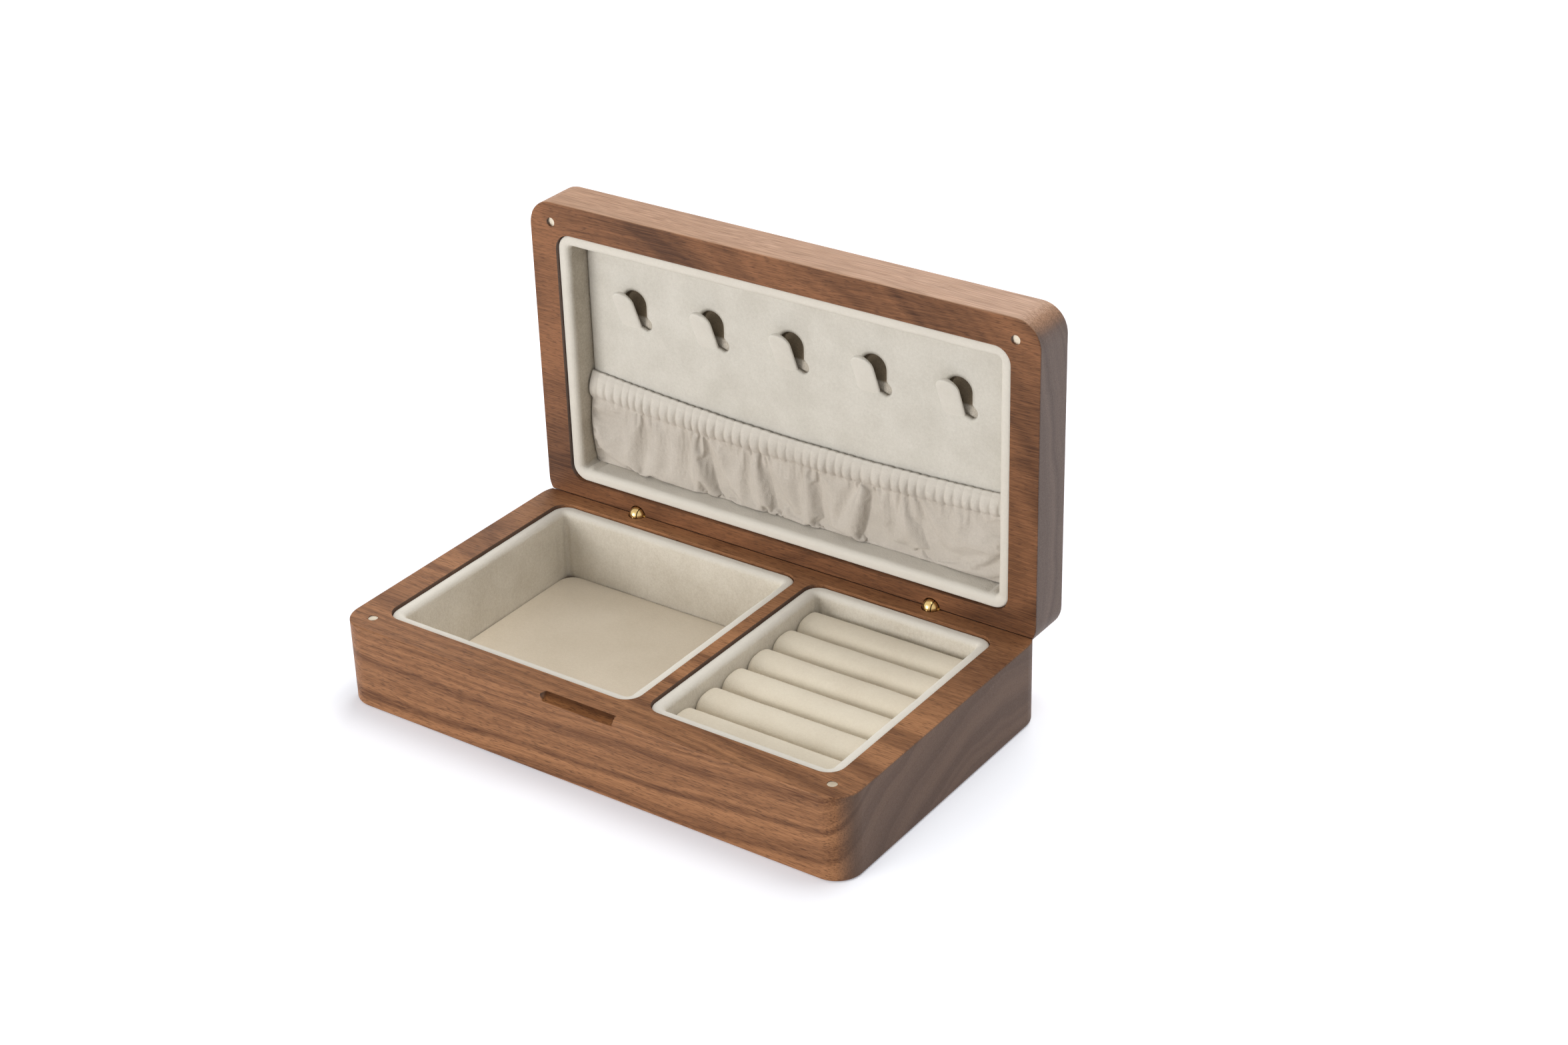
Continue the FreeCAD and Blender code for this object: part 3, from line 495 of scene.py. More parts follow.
def velvet(name, colour, shade, nap_size, grain, rims=(), has_cut_shade=False):
    """Short-pile velvet: speckled pile, brushed nap, a soft sheen, perhaps bands of painted highlight
    and painted shade, and painted shade round the cuts.
    """
    material, tree, shader = new_material(name)
    place = millimetres(tree)
    pile = noise_node(tree, place, scale=2.6, detail=3.0, roughness=0.6)
    speckle = noise_node(tree, place, scale=1.0, detail=2.0, roughness=0.6)
    nap = noise_node(tree, place, scale=1 / nap_size, detail=3.0, roughness=0.55)
    pile_share = spread(tree, pile, 0.3, 0.7, 0.0, grain)
    nap_share = spread(tree, nap, 0.35, 0.68, 0.0, 0.42)
    speckle_share = spread(tree, speckle, 0.32, 0.68, 0.0, 0.7 * grain)
    share = math_node(tree, "ADD", pile_share, nap_share)
    share = math_node(tree, "ADD", share, speckle_share)
    pile_colour = mix_colour(tree, share, colour, shade)
    for rim in rims:
        pile_colour = painted_band_along(tree, pile_colour, *rim)
    if has_cut_shade:
        pile_colour = painted_shade_round_cuts(tree, pile_colour)
    tree.links.new(pile_colour, shader.inputs["Base Color"])
    shader.inputs["Roughness"].default_value = 0.95
    shader.inputs["Specular IOR Level"].default_value = 0.12
    shader.inputs["Sheen Weight"].default_value = 0.25
    shader.inputs["Sheen Roughness"].default_value = 0.45
    relief = math_node(tree, "ADD", pile, math_node(tree, "MULTIPLY", speckle, 0.8))
    add_relief(tree, shader, 0.55, 0.00022, relief)
    return material


def flocked_card(name):
    """Thin card with a sparse tan flock, which is paler below the hooks' feet; the dark colour above is
    painted shade where the tongues shadow the cuts.
    """
    material, tree, shader = new_material(name)
    flock = noise_node(tree, millimetres(tree), scale=3.0, detail=3.0, roughness=0.6)
    share = spread(tree, flock, 0.3, 0.7)
    tan = mix_colour(tree, share, (0.24, 0.19, 0.13, 1), (0.16, 0.125, 0.082, 1))
    pale = mix_colour(tree, share, (0.62, 0.57, 0.49, 1), (0.40, 0.36, 0.30, 1))
    # Painted shade: dark above the reliefs, where the tongues shadow the cuts.
    relief_top = HINGE_Z + RELIEF_TOP
    above = spread(tree, place_on(tree)[AXIS_Z], relief_top - 1.0, relief_top)
    colour = mix_colour(tree, above, pale, tan)
    tree.links.new(colour, shader.inputs["Base Color"])
    shader.inputs["Roughness"].default_value = 0.95
    add_relief(tree, shader, 0.5, 0.0002, flock)
    return material


def metal(name, colour, worn, roughness, brushed):
    """Polished or brushed metal with fine scratches and a little tarnish."""
    material, tree, shader = new_material(name)
    along = millimetres(tree, scale=(brushed, 1, 1))
    scratch = noise_node(tree, along, scale=5.0, detail=3.0, roughness=0.6)
    tarnish = noise_node(tree, millimetres(tree), scale=0.5, detail=3.0, roughness=0.6)
    dull = spread(tree, tarnish, 0.4, 0.75, 0.0, 0.6)
    tree.links.new(mix_colour(tree, dull, colour, worn), shader.inputs["Base Color"])
    shader.inputs["Metallic"].default_value = 1.0
    polish = spread(tree, scratch, 0.3, 0.7, roughness * 0.7, roughness * 1.4)
    tree.links.new(polish, shader.inputs["Roughness"])
    add_relief(tree, shader, 0.12, 0.00003, scratch)
    return material


def elastic_weave(name):
    """Woven elastic with ribs along the band."""
    material, tree, shader = new_material(name)
    rib = add_node(
        tree,
        "ShaderNodeTexWave",
        {"Vector": millimetres(tree), "Scale": 0.35, "Distortion": 0.4, "Detail": 1.0},
        bands_direction="Z",
    ).outputs["Fac"]
    colour = mix_colour(tree, rib, (0.62, 0.58, 0.52, 1), (0.45, 0.41, 0.36, 1))
    tree.links.new(colour, shader.inputs["Base Color"])
    shader.inputs["Roughness"].default_value = 0.85
    add_relief(tree, shader, 0.6, 0.0001, rib)
    return material


QUARTER = math.radians(90)
BASE_WALNUT = walnut(
    "base_walnut",
    board_turn=(0, 0, 0),
    ring_turn=(0, math.radians(2.5), math.radians(1.5)),
    pith=(34, -95),
    light=(0.385, 0.182, 0.083, 1),
    dark=(0.108, 0.042, 0.0175, 1),
    end_grey=0.72,
    end_value=0.58,
)
LID_WALNUT = walnut(
    "lid_walnut",
    board_turn=(-QUARTER, 0, 0),
    ring_turn=(0, math.radians(7), math.radians(11)),
    pith=(85, 160),
    light=(0.285, 0.124, 0.056, 1),
    dark=(0.058, 0.0225, 0.0095, 1),
    end_grey=0.48,
    end_value=1.0,
)
BASE_LINER = velvet(
    "base_liner_velvet",
    (0.81, 0.77, 0.69, 1),
    (0.61, 0.56, 0.475, 1),
    nap_size=15,
    grain=0.42,
    # Painted highlight along the rim.
    rims=[(AXIS_Z, BASE_RIM_Z - 2.0, BASE_RIM_Z - 0.6, RIM_HIGHLIGHT_SHARE, PAINTED_RIM_HIGHLIGHT)],
)
# A darker copy of the lining velvet for the lid: painted shade on its deep walls, with painted
# highlights on its rims.
LID_LINER_SHADED = velvet(
    "lid_liner_velvet_shaded",
    (0.63, 0.58, 0.495, 1),
    (0.39, 0.34, 0.265, 1),
    nap_size=15,
    grain=0.48,
    rims=[
        # Painted highlights on the opening's rim and on the lower rim, lit from above.
        (AXIS_Y, LID_RIM_Y + 2.2, LID_RIM_Y + 0.4, RIM_HIGHLIGHT_SHARE, PAINTED_RIM_HIGHLIGHT),
        (AXIS_Z, LID_FOOT_Z + 1.5, LID_FOOT_Z, RIM_HIGHLIGHT_SHARE, PAINTED_RIM_HIGHLIGHT),
    ],
)
FLOOR_VELVET = velvet(
    "floor_velvet",
    (0.80, 0.715, 0.59, 1),
    (0.68, 0.595, 0.47, 1),
    nap_size=22,
    grain=0.30,
)
CUSHION_VELVET = velvet(
    "cushion_velvet",
    (0.775, 0.712, 0.59, 1),
    (0.665, 0.59, 0.473, 1),
    nap_size=18,
    grain=0.30,
)
PANEL_VELVET = velvet(
    "panel_velvet",
    (0.685, 0.66, 0.605, 1),
    (0.555, 0.53, 0.475, 1),
    nap_size=11,
    grain=0.38,
    # Painted shade on the board's edges where they turn back from the front.
    rims=[(AXIS_Y, panel_front + 0.05, panel_front + PANEL_EDGE, 0.5, PAINTED_CUT_SHADE)],
    has_cut_shade=True,
)
# A lighter copy of the panel's velvet for the tongues: painted light on their forward-leaning faces.
TONGUE_VELVET_LIT = velvet(
    "tongue_velvet_lit",
    (0.715, 0.69, 0.635, 1),
    (0.615, 0.585, 0.525, 1),
    nap_size=11,
    grain=0.30,
)
POCKET_VELVET = velvet(
    "pocket_velvet",
    (0.61, 0.565, 0.51, 1),
    (0.48, 0.44, 0.39, 1),
    nap_size=9,
    grain=0.34,
    # Painted highlight up the header, lit from above.
    rims=[(AXIS_Z, HINGE_Z + 34.5, HINGE_Z + 41.0, 0.5, PAINTED_RIM_HIGHLIGHT)],
)
BACKING_CARD = flocked_card("backing_card")
BRASS = metal("brass", (0.72, 0.51, 0.22, 1), (0.50, 0.33, 0.12, 1), roughness=0.24, brushed=0.3)
NICKEL = metal("nickel", (0.66, 0.585, 0.47, 1), (0.47, 0.40, 0.30, 1), roughness=0.36, brushed=0.2)
ELASTIC = elastic_weave("elastic")

for name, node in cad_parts.items():
    if name == "base_case":
        node.data.materials[0] = BASE_WALNUT
    elif name == "lid_case":
        node.data.materials[0] = LID_WALNUT
    elif name == "panel_backing":
        node.data.materials[0] = BACKING_CARD
    elif "magnet" in name:
        node.data.materials[0] = NICKEL
    elif name.startswith("hinge"):
        node.data.materials[0] = BRASS


# Wall liners: card and wadding wrapped in velvet, with a full round rim.


def in_base(across, along, height):
    """A point of the base from its plan and its height."""
    return np.stack([across, along, height], -1)


def in_lid(across, along, height):
    """A point of the lid from its place on the lid's face and its height towards the opening."""
    return np.stack([across, -height, along], -1)


def swell(place, height, middle, width):
    """A smooth rise of some height and width about a middle."""
    return height * np.exp(-(((place - middle) / width) ** 2))


def pucker(corner_gap, height_share):
    """Upright tucks in the velvet beside an inner corner."""
    lip = swell(corner_gap, *TUCK_LIP)
    crease = swell(corner_gap, *TUCK_CREASE)
    fade = smooth_step(0.02, 0.15, height_share) * (1 - smooth_step(0.72, 0.92, height_share))
    return (lip - crease) * fade


def make_liner(name, body, place, low, high, material, seed):
    """A closed velvet wall inside a well. low and high are plan corners with their heights."""
    rim = LINER_WALL / 2
    turns = 18
    walls = 16
    arc = [math.pi * i / turns for i in range(turns + 1)]
    outer = [a for a in arc if a < math.pi / 2]
    inner = arc[len(outer):]
    inset = [0.0] + [rim - rim * math.cos(a) ** RIM_FULLNESS for a in outer]
    inset += [rim - rim * math.cos(a) for a in inner] + [LINER_WALL] * walls
    top = high[2] - rim
    height = [low[2]] + [top + rim * math.sin(a) ** RIM_FULLNESS for a in outer]
    height += [top + rim * math.sin(a) for a in inner]
    height += [top + (low[2] - top) * (i + 1) / walls for i in range(walls)]
    inset = np.array(inset)
    height = np.array(height)
    points, normals = rounded_loop(low[:2], high[:2], LINER_CORNER, MESH_STEP)
    plan = points[:, None, :] - normals[:, None, :] * inset[None, :, None]
    level = np.broadcast_to(height, plan.shape[:2]).copy()
    flat = in_base(plan[..., 0], plan[..., 1], level).reshape(-1, 3)
    soft = unevenness(flat, LINER_RIPPLES, seed).reshape(level.shape)
    inside = smooth_step(rim, LINER_WALL, inset)[None, :]
    corner_gap = np.min(
        [
            np.abs(plan[..., 0] - x) + np.abs(plan[..., 1] - y)
            for x in (low[0] + LINER_WALL, high[0] - LINER_WALL)
            for y in (low[1] + LINER_WALL, high[1] - LINER_WALL)
        ],
        axis=0,
    )
    share = (level - low[2]) / (high[2] - low[2])
    depth, size = TUCK_WAVER
    waver = 1.0 + depth * ripple(flat, size, seed + 2).reshape(level.shape)
    inward = inside * (soft + pucker(corner_gap, share) * waver)
    plan = plan - normals[:, None, :] * inward[..., None]
    crown = smooth_step(top, high[2], level)
    level = level + crown * np.minimum(soft, 0.0)
    placed = place(plan[..., 0], plan[..., 1], level).reshape(-1, 3)
    faces = grid_faces(len(points), len(inset), True, True)
    piece = add_piece(name, placed, faces, body, material, [name])


for number, node in enumerate(("tray_wall_liner", "ring_wall_liner")):
    make_liner(node, "base", in_base, *node_box(node), BASE_LINER, seed=3 * number + 1)
make_liner(
    "lid_wall_liner",
    "lid",
    in_lid,
    np.array((liner_low[0], liner_low[2], -liner_high[1])),
    np.array((liner_high[0], liner_high[2], -liner_low[1])),
    LID_LINER_SHADED,
    seed=9,
)


# Floor cards: thin boards in velvet with soft edges.


def make_card(name, seed):
    """A flat velvet board that fills the foot of a well."""
    low, high = node_box(name)
    loop, normals = rounded_loop(low[:2], high[:2], CARD_CORNER, MESH_STEP)
    centre = (low[:2] + high[:2]) / 2
    rings = []
    levels = [low[2], high[2] - CARD_EDGE]
    insets = [0.0, 0.0]
    turns = 4
    for turn in range(1, turns + 1):
        angle = math.radians(90 * turn / turns)
        insets.append(CARD_EDGE * (1 - math.cos(angle)))
        levels.append(high[2] - CARD_EDGE * (1 - math.sin(angle)))
    for inset, level in zip(insets, levels):
        ring = loop - normals * inset
        rings.append(np.column_stack([ring, np.full(len(ring), level)]))
    edge = loop - normals * insets[-1]
    for share in np.linspace(0.94, 0.06, CARD_RINGS):
        ring = centre + (edge - centre) * share
        rings.append(np.column_stack([ring, np.full(len(ring), high[2])]))
    points = np.concatenate(rings)
    top = points[:, 2] > high[2] - CARD_EDGE
    depth, size = CARD_RIPPLE
    points[:, 2] += top * (depth * ripple(points, size, seed) - depth)
    faces = grid_faces(len(rings), len(loop), False, True)
    faces.append(tuple(range(len(points) - len(loop), len(points))))
    faces.append(tuple(range(len(loop) - 1, -1, -1)))
    piece = add_piece(name, points, faces, "base", FLOOR_VELVET, [name])


make_card("tray_floor_card", 21)
make_card("ring_floor_card", 22)


# Ring rolls: foam bars wrapped in velvet, round on top and tucked in at the ends.


def make_roll(name, seed):
    """One foam bar, with a half-round back and softly rounded ends."""
    low, high = node_box(name)
    middle = (low[1] + high[1]) / 2
    radius = (high[1] - low[1]) / 2
    spring_line = high[2] - radius
    sides = 6
    turns = 28
    angles = np.pi * np.arange(turns + 1) / turns
    crown_across = radius * np.sign(np.cos(angles)) * np.abs(np.cos(angles)) ** ROLL_FULLNESS
    crown_up = spring_line + radius * np.abs(np.sin(angles)) ** ROLL_FULLNESS
    wall = np.linspace(low[2], spring_line, sides + 1)[:-1]
    across = np.concatenate([np.full(sides, radius), crown_across, np.full(sides, -radius)])
    up = np.concatenate([wall, crown_up, wall[::-1]])
    end_angles = np.radians(np.linspace(0, 90, 7))
    ends = [ROLL_END * (1 - math.cos(a)) for a in end_angles]
    run = np.linspace(low[0] + ROLL_END, high[0] - ROLL_END, ROLL_RINGS)[1:-1]
    stations = [low[0] + e for e in ends] + list(run) + [high[0] - e for e in reversed(ends)]
    sections = []
    for station in stations:
        near = min(station - low[0], high[0] - station, ROLL_END)
        draw_in = ROLL_END - math.sqrt(ROLL_END**2 - (ROLL_END - near) ** 2)
        shrink = (radius - draw_in) / radius
        rise = np.where(up > low[2], (up - low[2]) * (1 - draw_in / (high[2] - low[2])), 0.0)
        along = np.full(len(up), station)
        sections.append(np.column_stack([along, middle + across * shrink, low[2] + rise]))
    points = np.concatenate(sections)
    outward = np.stack([np.zeros(len(up)), across, np.maximum(up - spring_line, 0)], -1)
    outward /= np.maximum(np.linalg.norm(outward, axis=1), 1e-6)[:, None]
    soft = unevenness(points, ROLL_RIPPLES, seed) - ROLL_RIPPLES[0][0]
    lifted = (points[:, 2] > low[2] + 0.01) * soft
    points += np.tile(outward, (len(stations), 1)) * lifted[:, None]
    width = len(up)
    faces = grid_faces(len(stations), width, False, True)
    faces.append(tuple(range(width)))
    faces.append(tuple(range(len(points) - 1, len(points) - width - 1, -1)))
    piece = add_piece(name, points, faces, "base", CUSHION_VELVET, [name])


for number in range(1, 7):
    make_roll(f"ring_roll_{number}", 30 + 2 * number)


# Hook panel: a velvet board with five tongues cut out and bent forward.


def arc_points(centre, radius, start, end, count):
    """Points on a circle from one angle to another, in degrees."""
    angles = np.radians(np.linspace(start, end, count))
    return [(centre[0] + radius * math.cos(a), centre[1] + radius * math.sin(a)) for a in angles]


def hole_outline(middle):
    """The cut round one tongue, which ends in a round relief to the right of its foot."""
    shoulder = HOOK_FOOT + HOLE_HEIGHT - HOLE_CORNER
    relief = (RELIEF_ASIDE, HOOK_FOOT + RELIEF_RISE)
    meet = math.degrees(math.acos((HOLE_RIGHT - RELIEF_ASIDE) / RELIEF_RADIUS))
    outline = [(HOLE_LEFT, HOOK_FOOT + HOLE_SILL)]
    outline += arc_points((HOLE_LEFT + HOLE_CORNER, shoulder), HOLE_CORNER, 180, 90, 13)
    outline += arc_points((HOLE_RIGHT - HOLE_CORNER, shoulder), HOLE_CORNER, 90, 0, 13)
    outline.append((HOLE_RIGHT, RELIEF_TOP + RELIEF_BLEND))
    outline += arc_points(relief, RELIEF_RADIUS, meet - RELIEF_EASE, -meet, 17)
    return [(middle + x, s) for x, s in outline]


def hook_centres():
    """Places of the tongues across the lid."""
    return [(i - (HOOK_COUNT - 1) / 2) * HOOK_PITCH for i in range(HOOK_COUNT)]


def add_spline(curve, outline):
    """A closed straight-sided spline through the outline's points, given in millimetres."""
    spline = curve.splines.new("POLY")
    spline.points.add(len(outline) - 1)
    for point, (x, y) in zip(spline.points, outline):
        point.co = (x * MM, y * MM, 0, 1)
    spline.use_cyclic_u = True


def tongue_mesh(middle, front):
    """Points and faces of one tongue, growing out of the board and bent forward."""
    tip = HOOK_WIDTH / 2
    straight = np.linspace(-HOOK_ROOT, HOOK_LENGTH - tip, 24)
    crown = HOOK_LENGTH - tip + tip * np.sin(np.radians(np.linspace(0, 90, 14)[1:]))
    stations = np.concatenate([straight, crown])
    sides = 28
    angles = np.radians(np.arange(sides) * 360 / sides)
    wide, deep = HOOK_SQUARENESS
    round_x = np.sign(np.cos(angles)) * np.abs(np.cos(angles)) ** wide
    round_y = np.sign(np.sin(angles)) * np.abs(np.sin(angles)) ** deep
    place = np.array((front + HOOK_SUNK + HOOK_THICKNESS / 2, HOOK_FOOT - HOOK_ROOT))
    previous = stations[0]
    sections = []
    for along in stations:
        past = min(max(along - (HOOK_LENGTH - tip), 0), tip)
        half = max(math.sqrt(tip**2 - past**2), 0.02)
        thick = HOOK_THICKNESS / 2 * min(1.0, math.sqrt(half / HOOK_TIP_TAPER))
        lean = math.radians(HOOK_LEAN) * float(smooth_step(*HOOK_BEND, along))
        place = place + (along - previous) * np.array((-math.sin(lean), math.cos(lean)))
        previous = along
        y = place[0] - thick * round_y * math.cos(lean)
        s = place[1] - thick * round_y * math.sin(lean)
        sections.append(np.column_stack([middle - HOOK_SHIFT + half * round_x, y, HINGE_Z + s]))
    faces = grid_faces(len(sections), sides, False, True)
    total = len(sections) * sides
    faces.append(tuple(range(sides)))
    faces.append(tuple(range(total - 1, total - sides - 1, -1)))
    return np.concatenate(sections), faces


# The panel's finishes, in the order of its materials; the walls inside the cuts take the card's painted
# shade.
COVERED, TONGUE, SHADED_CUT_WALL = range(3)


def is_cut_wall(face):
    """True for the board's wall inside a cut, above the relief, which takes the card's painted shade.
    """
    x, s, _ = np.array(face.center) / MM
    highest = HOOK_FOOT + HOLE_HEIGHT + PANEL_EDGE
    by_a_hook = RELIEF_TOP < s < highest and abs(x) < HOOK_COUNT * HOOK_PITCH / 2
    return by_a_hook and abs(face.normal.z) < 0.5


def make_hook_panel():
    """The board with its cut-outs, joined with its five tongues."""
    curve = bpy.data.curves.new("hook_panel", "CURVE")
    curve.dimensions = "2D"
    curve.fill_mode = "BOTH"
    low = (panel_low[0], panel_low[2] - HINGE_Z)
    high = (panel_high[0], panel_high[2] - HINGE_Z)
    loop, _ = rounded_loop(low, high, PANEL_CORNER, 3.0)
    add_spline(curve, loop)
    for middle in hook_centres():
        add_spline(curve, hole_outline(middle))
    curve.bevel_depth = PANEL_EDGE * MM
    curve.bevel_resolution = 3
    curve.offset = -PANEL_EDGE * MM
    curve.extrude = (PANEL_THICKNESS / 2 - PANEL_EDGE) * MM
    drawing = bpy.data.objects.new("hook_panel_drawing", curve)
    bpy.context.scene.collection.objects.link(drawing)
    graph = bpy.context.evaluated_depsgraph_get()
    board = bpy.data.meshes.new_from_object(drawing.evaluated_get(graph))
    bpy.data.objects.remove(drawing)
    flat = np.array([v.co for v in board.vertices]) / MM
    finish = [SHADED_CUT_WALL if is_cut_wall(face) else COVERED for face in board.polygons]
    depth = panel_front + PANEL_THICKNESS / 2
    points = [np.column_stack([flat[:, 0], depth - flat[:, 2], HINGE_Z + flat[:, 1]])]
    faces = [tuple(p.vertices) for p in board.polygons]
    bpy.data.meshes.remove(board)
    for middle in hook_centres():
        start = sum(len(p) for p in points)
        more, quads = tongue_mesh(middle, panel_front)
        points.append(more)
        faces += [tuple(start + i for i in quad) for quad in quads]
        finish += [TONGUE] * len(quads)
    points = np.concatenate(points)
    name = "hook_panel"
    piece = add_piece(name, points, faces, "lid", PANEL_VELVET, [name])
    # The tongues take the lighter copy as painted light, and the cut walls take the card's painted
    # shade.
    piece.data.materials.append(TONGUE_VELVET_LIT)
    piece.data.materials.append(BACKING_CARD)
    piece.data.polygons.foreach_set("material_index", finish)
    level = piece.modifiers.new("even_normals", "WEIGHTED_NORMAL")
    level.keep_sharp = True


make_hook_panel()


# Gathered pocket: one sheet, ruched along its elastic, with a skirt that a cloth simulation drapes.

# Each deep fold of the skirt: its foot and its top across the lid, and the spare cloth in it.
FOLDS = (
    (-66.0, -62.0, 1.2),
    (-32.0, -38.0, 3.2),
    (-8.0, -14.0, 2.4),
    (10.0, 8.0, 1.8),
    (28.5, 31.0, 2.8),
    (53.0, 47.0, 1.8),
)


def pocket_lines(across):
    """Heights of the stitch line and of the top edge, for shares from -1 to 1 across the lid."""
    return [middle + rise * across**2 - fall * across for middle, rise, fall in (STITCH_LINE, TOP_LINE)]


def ruche(x, height):
    """How far the gathers stand out, from the stitch line at 0 to the top edge at 1."""
    places = np.stack([x, np.zeros_like(x), 3.0 * height], -1).reshape(-1, 3)
    drift = unevenness(places, RUCHE_DRIFT, 51)
    uneven = 0.8 + 0.45 * ripple(places, 7.0, 53)
    crest = np.abs(np.cos(np.pi * (x / RUCHE_PITCH + drift.reshape(x.shape)))) ** RUCHE_FLATNESS
    reach = 0.8 + 0.2 * smooth_step(0.0, 0.2, height) - 0.92 * smooth_step(0.35, 0.9, height)
    return RUCHE_DEPTH * uneven.reshape(x.shape) * crest * reach


def pocket_gape(across, height):
    """How far the pocket's mouth bows out, most in its middle and at its top edge."""
    return POCKET_STAND_OFF * (1 - across**2) * (0.3 + 0.7 * height)


def header_out(across, height):
    """How far the header stands before the panel."""
    gape = pocket_gape(across, height)
    roll = HEADER_ROLL * np.sin(np.pi * height**0.7)
    hem = HEM_TUCK * smooth_step(0.8, 1.0, height)
    return HEADER_OUT + gape + roll + ruche(across * POCKET_HALF_WIDTH, height) - hem


def add_keyed_cloth(cut, hung, held, faces):
    """A cloth that starts as it was cut and whose held points move to where they hang."""
    mesh = bpy.data.meshes.new("skirt_cloth")
    mesh.from_pydata([tuple(p) for p in cut], [], faces)
    cloth = bpy.data.objects.new("skirt_cloth", mesh)
    bpy.context.scene.collection.objects.link(cloth)
    cloth.shape_key_add(name="cut")
    goal = cloth.shape_key_add(name="hung")
    goal.data.foreach_set("co", hung.ravel())
    for share, moment in ((0.0, 1), (1.0, CLOTH_DRAW_IN)):
        goal.value = share
        goal.keyframe_insert("value", frame=moment)
    cloth.vertex_groups.new(name="held").add(held, 1.0, "REPLACE")
    solver = cloth.modifiers.new("cloth", "CLOTH")
    settings = solver.settings
    settings.quality = 8
    settings.mass = 0.3
    settings.tension_stiffness = settings.compression_stiffness = 15
    settings.shear_stiffness = 5
    settings.bending_stiffness = 12
    settings.tension_damping = settings.compression_damping = settings.shear_damping = 10
    settings.bending_damping = 2
    settings.air_damping = 4
    settings.vertex_group_mass = "held"
    settings.pin_stiffness = 50
    settings.effector_weights.gravity = 0.6
    solver.collision_settings.use_collision = False
    solver.point_cache.frame_end = CLOTH_FRAMES
    return cloth


def drape_skirt():
    """The skirt's points, gathered along its edges and hung by the simulation."""
    across, up = np.meshgrid(np.linspace(-1, 1, SKIRT_COLUMNS), np.linspace(0, 1, SKIRT_ROWS))
    stitch, _ = pocket_lines(across)
    x = across * POCKET_HALF_WIDTH
    s = POCKET_FOOT + up * (stitch - POCKET_FOOT)
    places = np.stack([x, np.zeros_like(x), s], -1).reshape(-1, 3)
    unrest = unevenness(places, SKIRT_UNREST, 61)
    belly = np.sin(np.pi * up)
    edge_out = SKIRT_OUT + SKIRT_BULGE * np.sin(np.pi * (1 - up) ** 0.8) + SKIRT_SHOULDER * up**4
    out = np.where(up == 1, header_out(across, np.zeros_like(across)), edge_out)
    hung = np.stack([x, -out, s], -1).reshape(-1, 3)
    spare = np.zeros_like(x)
    lip = np.zeros_like(x)
    for foot, top, cloth in FOLDS:
        beside = (x - foot - (top - foot) * up) / FOLD_REACH
        spare += cloth * (smooth_step(-1, 1, beside) - 0.5)
        crest = np.exp(-((beside + 0.4) ** 2) * 4)
        hollow = np.exp(-((beside - 0.6) ** 2) * 6)
        lip += FOLD_LIP * cloth * (crest - hollow)
    flat_out = SKIRT_OUT + belly * (1 + lip) + unrest.reshape(x.shape)
    long_s = POCKET_FOOT + (s - POCKET_FOOT) * SKIRT_DROP
    cut = np.stack([x * SKIRT_GATHER + spare, -flat_out, long_s], -1).reshape(-1, 3)
    on_edge = (up == 0) | (up == 1) | (np.abs(across) == 1)
    held = [int(i) for i in np.flatnonzero(on_edge.ravel())]
    size = CLOTH_SCALE * MM
    cloth = add_keyed_cloth(cut * size, hung * size, held, grid_faces(SKIRT_ROWS, SKIRT_COLUMNS))
    scene = bpy.context.scene
    for moment in range(1, CLOTH_FRAMES + 1):
        scene.frame_set(moment)
    graph = bpy.context.evaluated_depsgraph_get()
    draped = bpy.data.meshes.new_from_object(cloth.evaluated_get(graph))
    points = np.array([v.co for v in draped.vertices]) / size
    scene.frame_set(1)
    bpy.data.objects.remove(cloth)
    bpy.data.meshes.remove(draped)
    return points.reshape(SKIRT_ROWS, SKIRT_COLUMNS, 3)


def finer(grid, count, axis):
    """A grid of points made finer along one axis by a smooth curve through them."""
    grid = np.moveaxis(grid, axis, 0)
    last = len(grid) - 1
    place = np.linspace(0, last, count)
    start = np.minimum(place.astype(int), last - 1)
    t = (place - start).reshape(-1, 1, 1)
    before = grid[np.maximum(start - 1, 0)]
    here = grid[start]
    there = grid[start + 1]
    after = grid[np.minimum(start + 2, last)]
    curve = 2 * here + (there - before) * t + (2 * before - 5 * here + 4 * there - after) * t**2
    curve += (3 * here - before - 3 * there + after) * t**3
    return np.moveaxis(curve / 2, 0, axis)


def sheet_faces(rows, columns):
    """Faces of a thin sheet whose front points are followed by its back points."""
    count = rows * columns
    quads = grid_faces(rows, columns)
    faces = quads + [tuple(count + i for i in reversed(quad)) for quad in quads]
    rim = list(range(columns))
    rim += [row * columns + columns - 1 for row in range(1, rows)]
    rim += [(rows - 1) * columns + i for i in range(columns - 2, -1, -1)]
    rim += [row * columns for row in range(rows - 2, 0, -1)]
    faces += [(here, there, count + there, count + here) for here, there in zip(rim, rim[1:] + rim[:1])]
    return faces


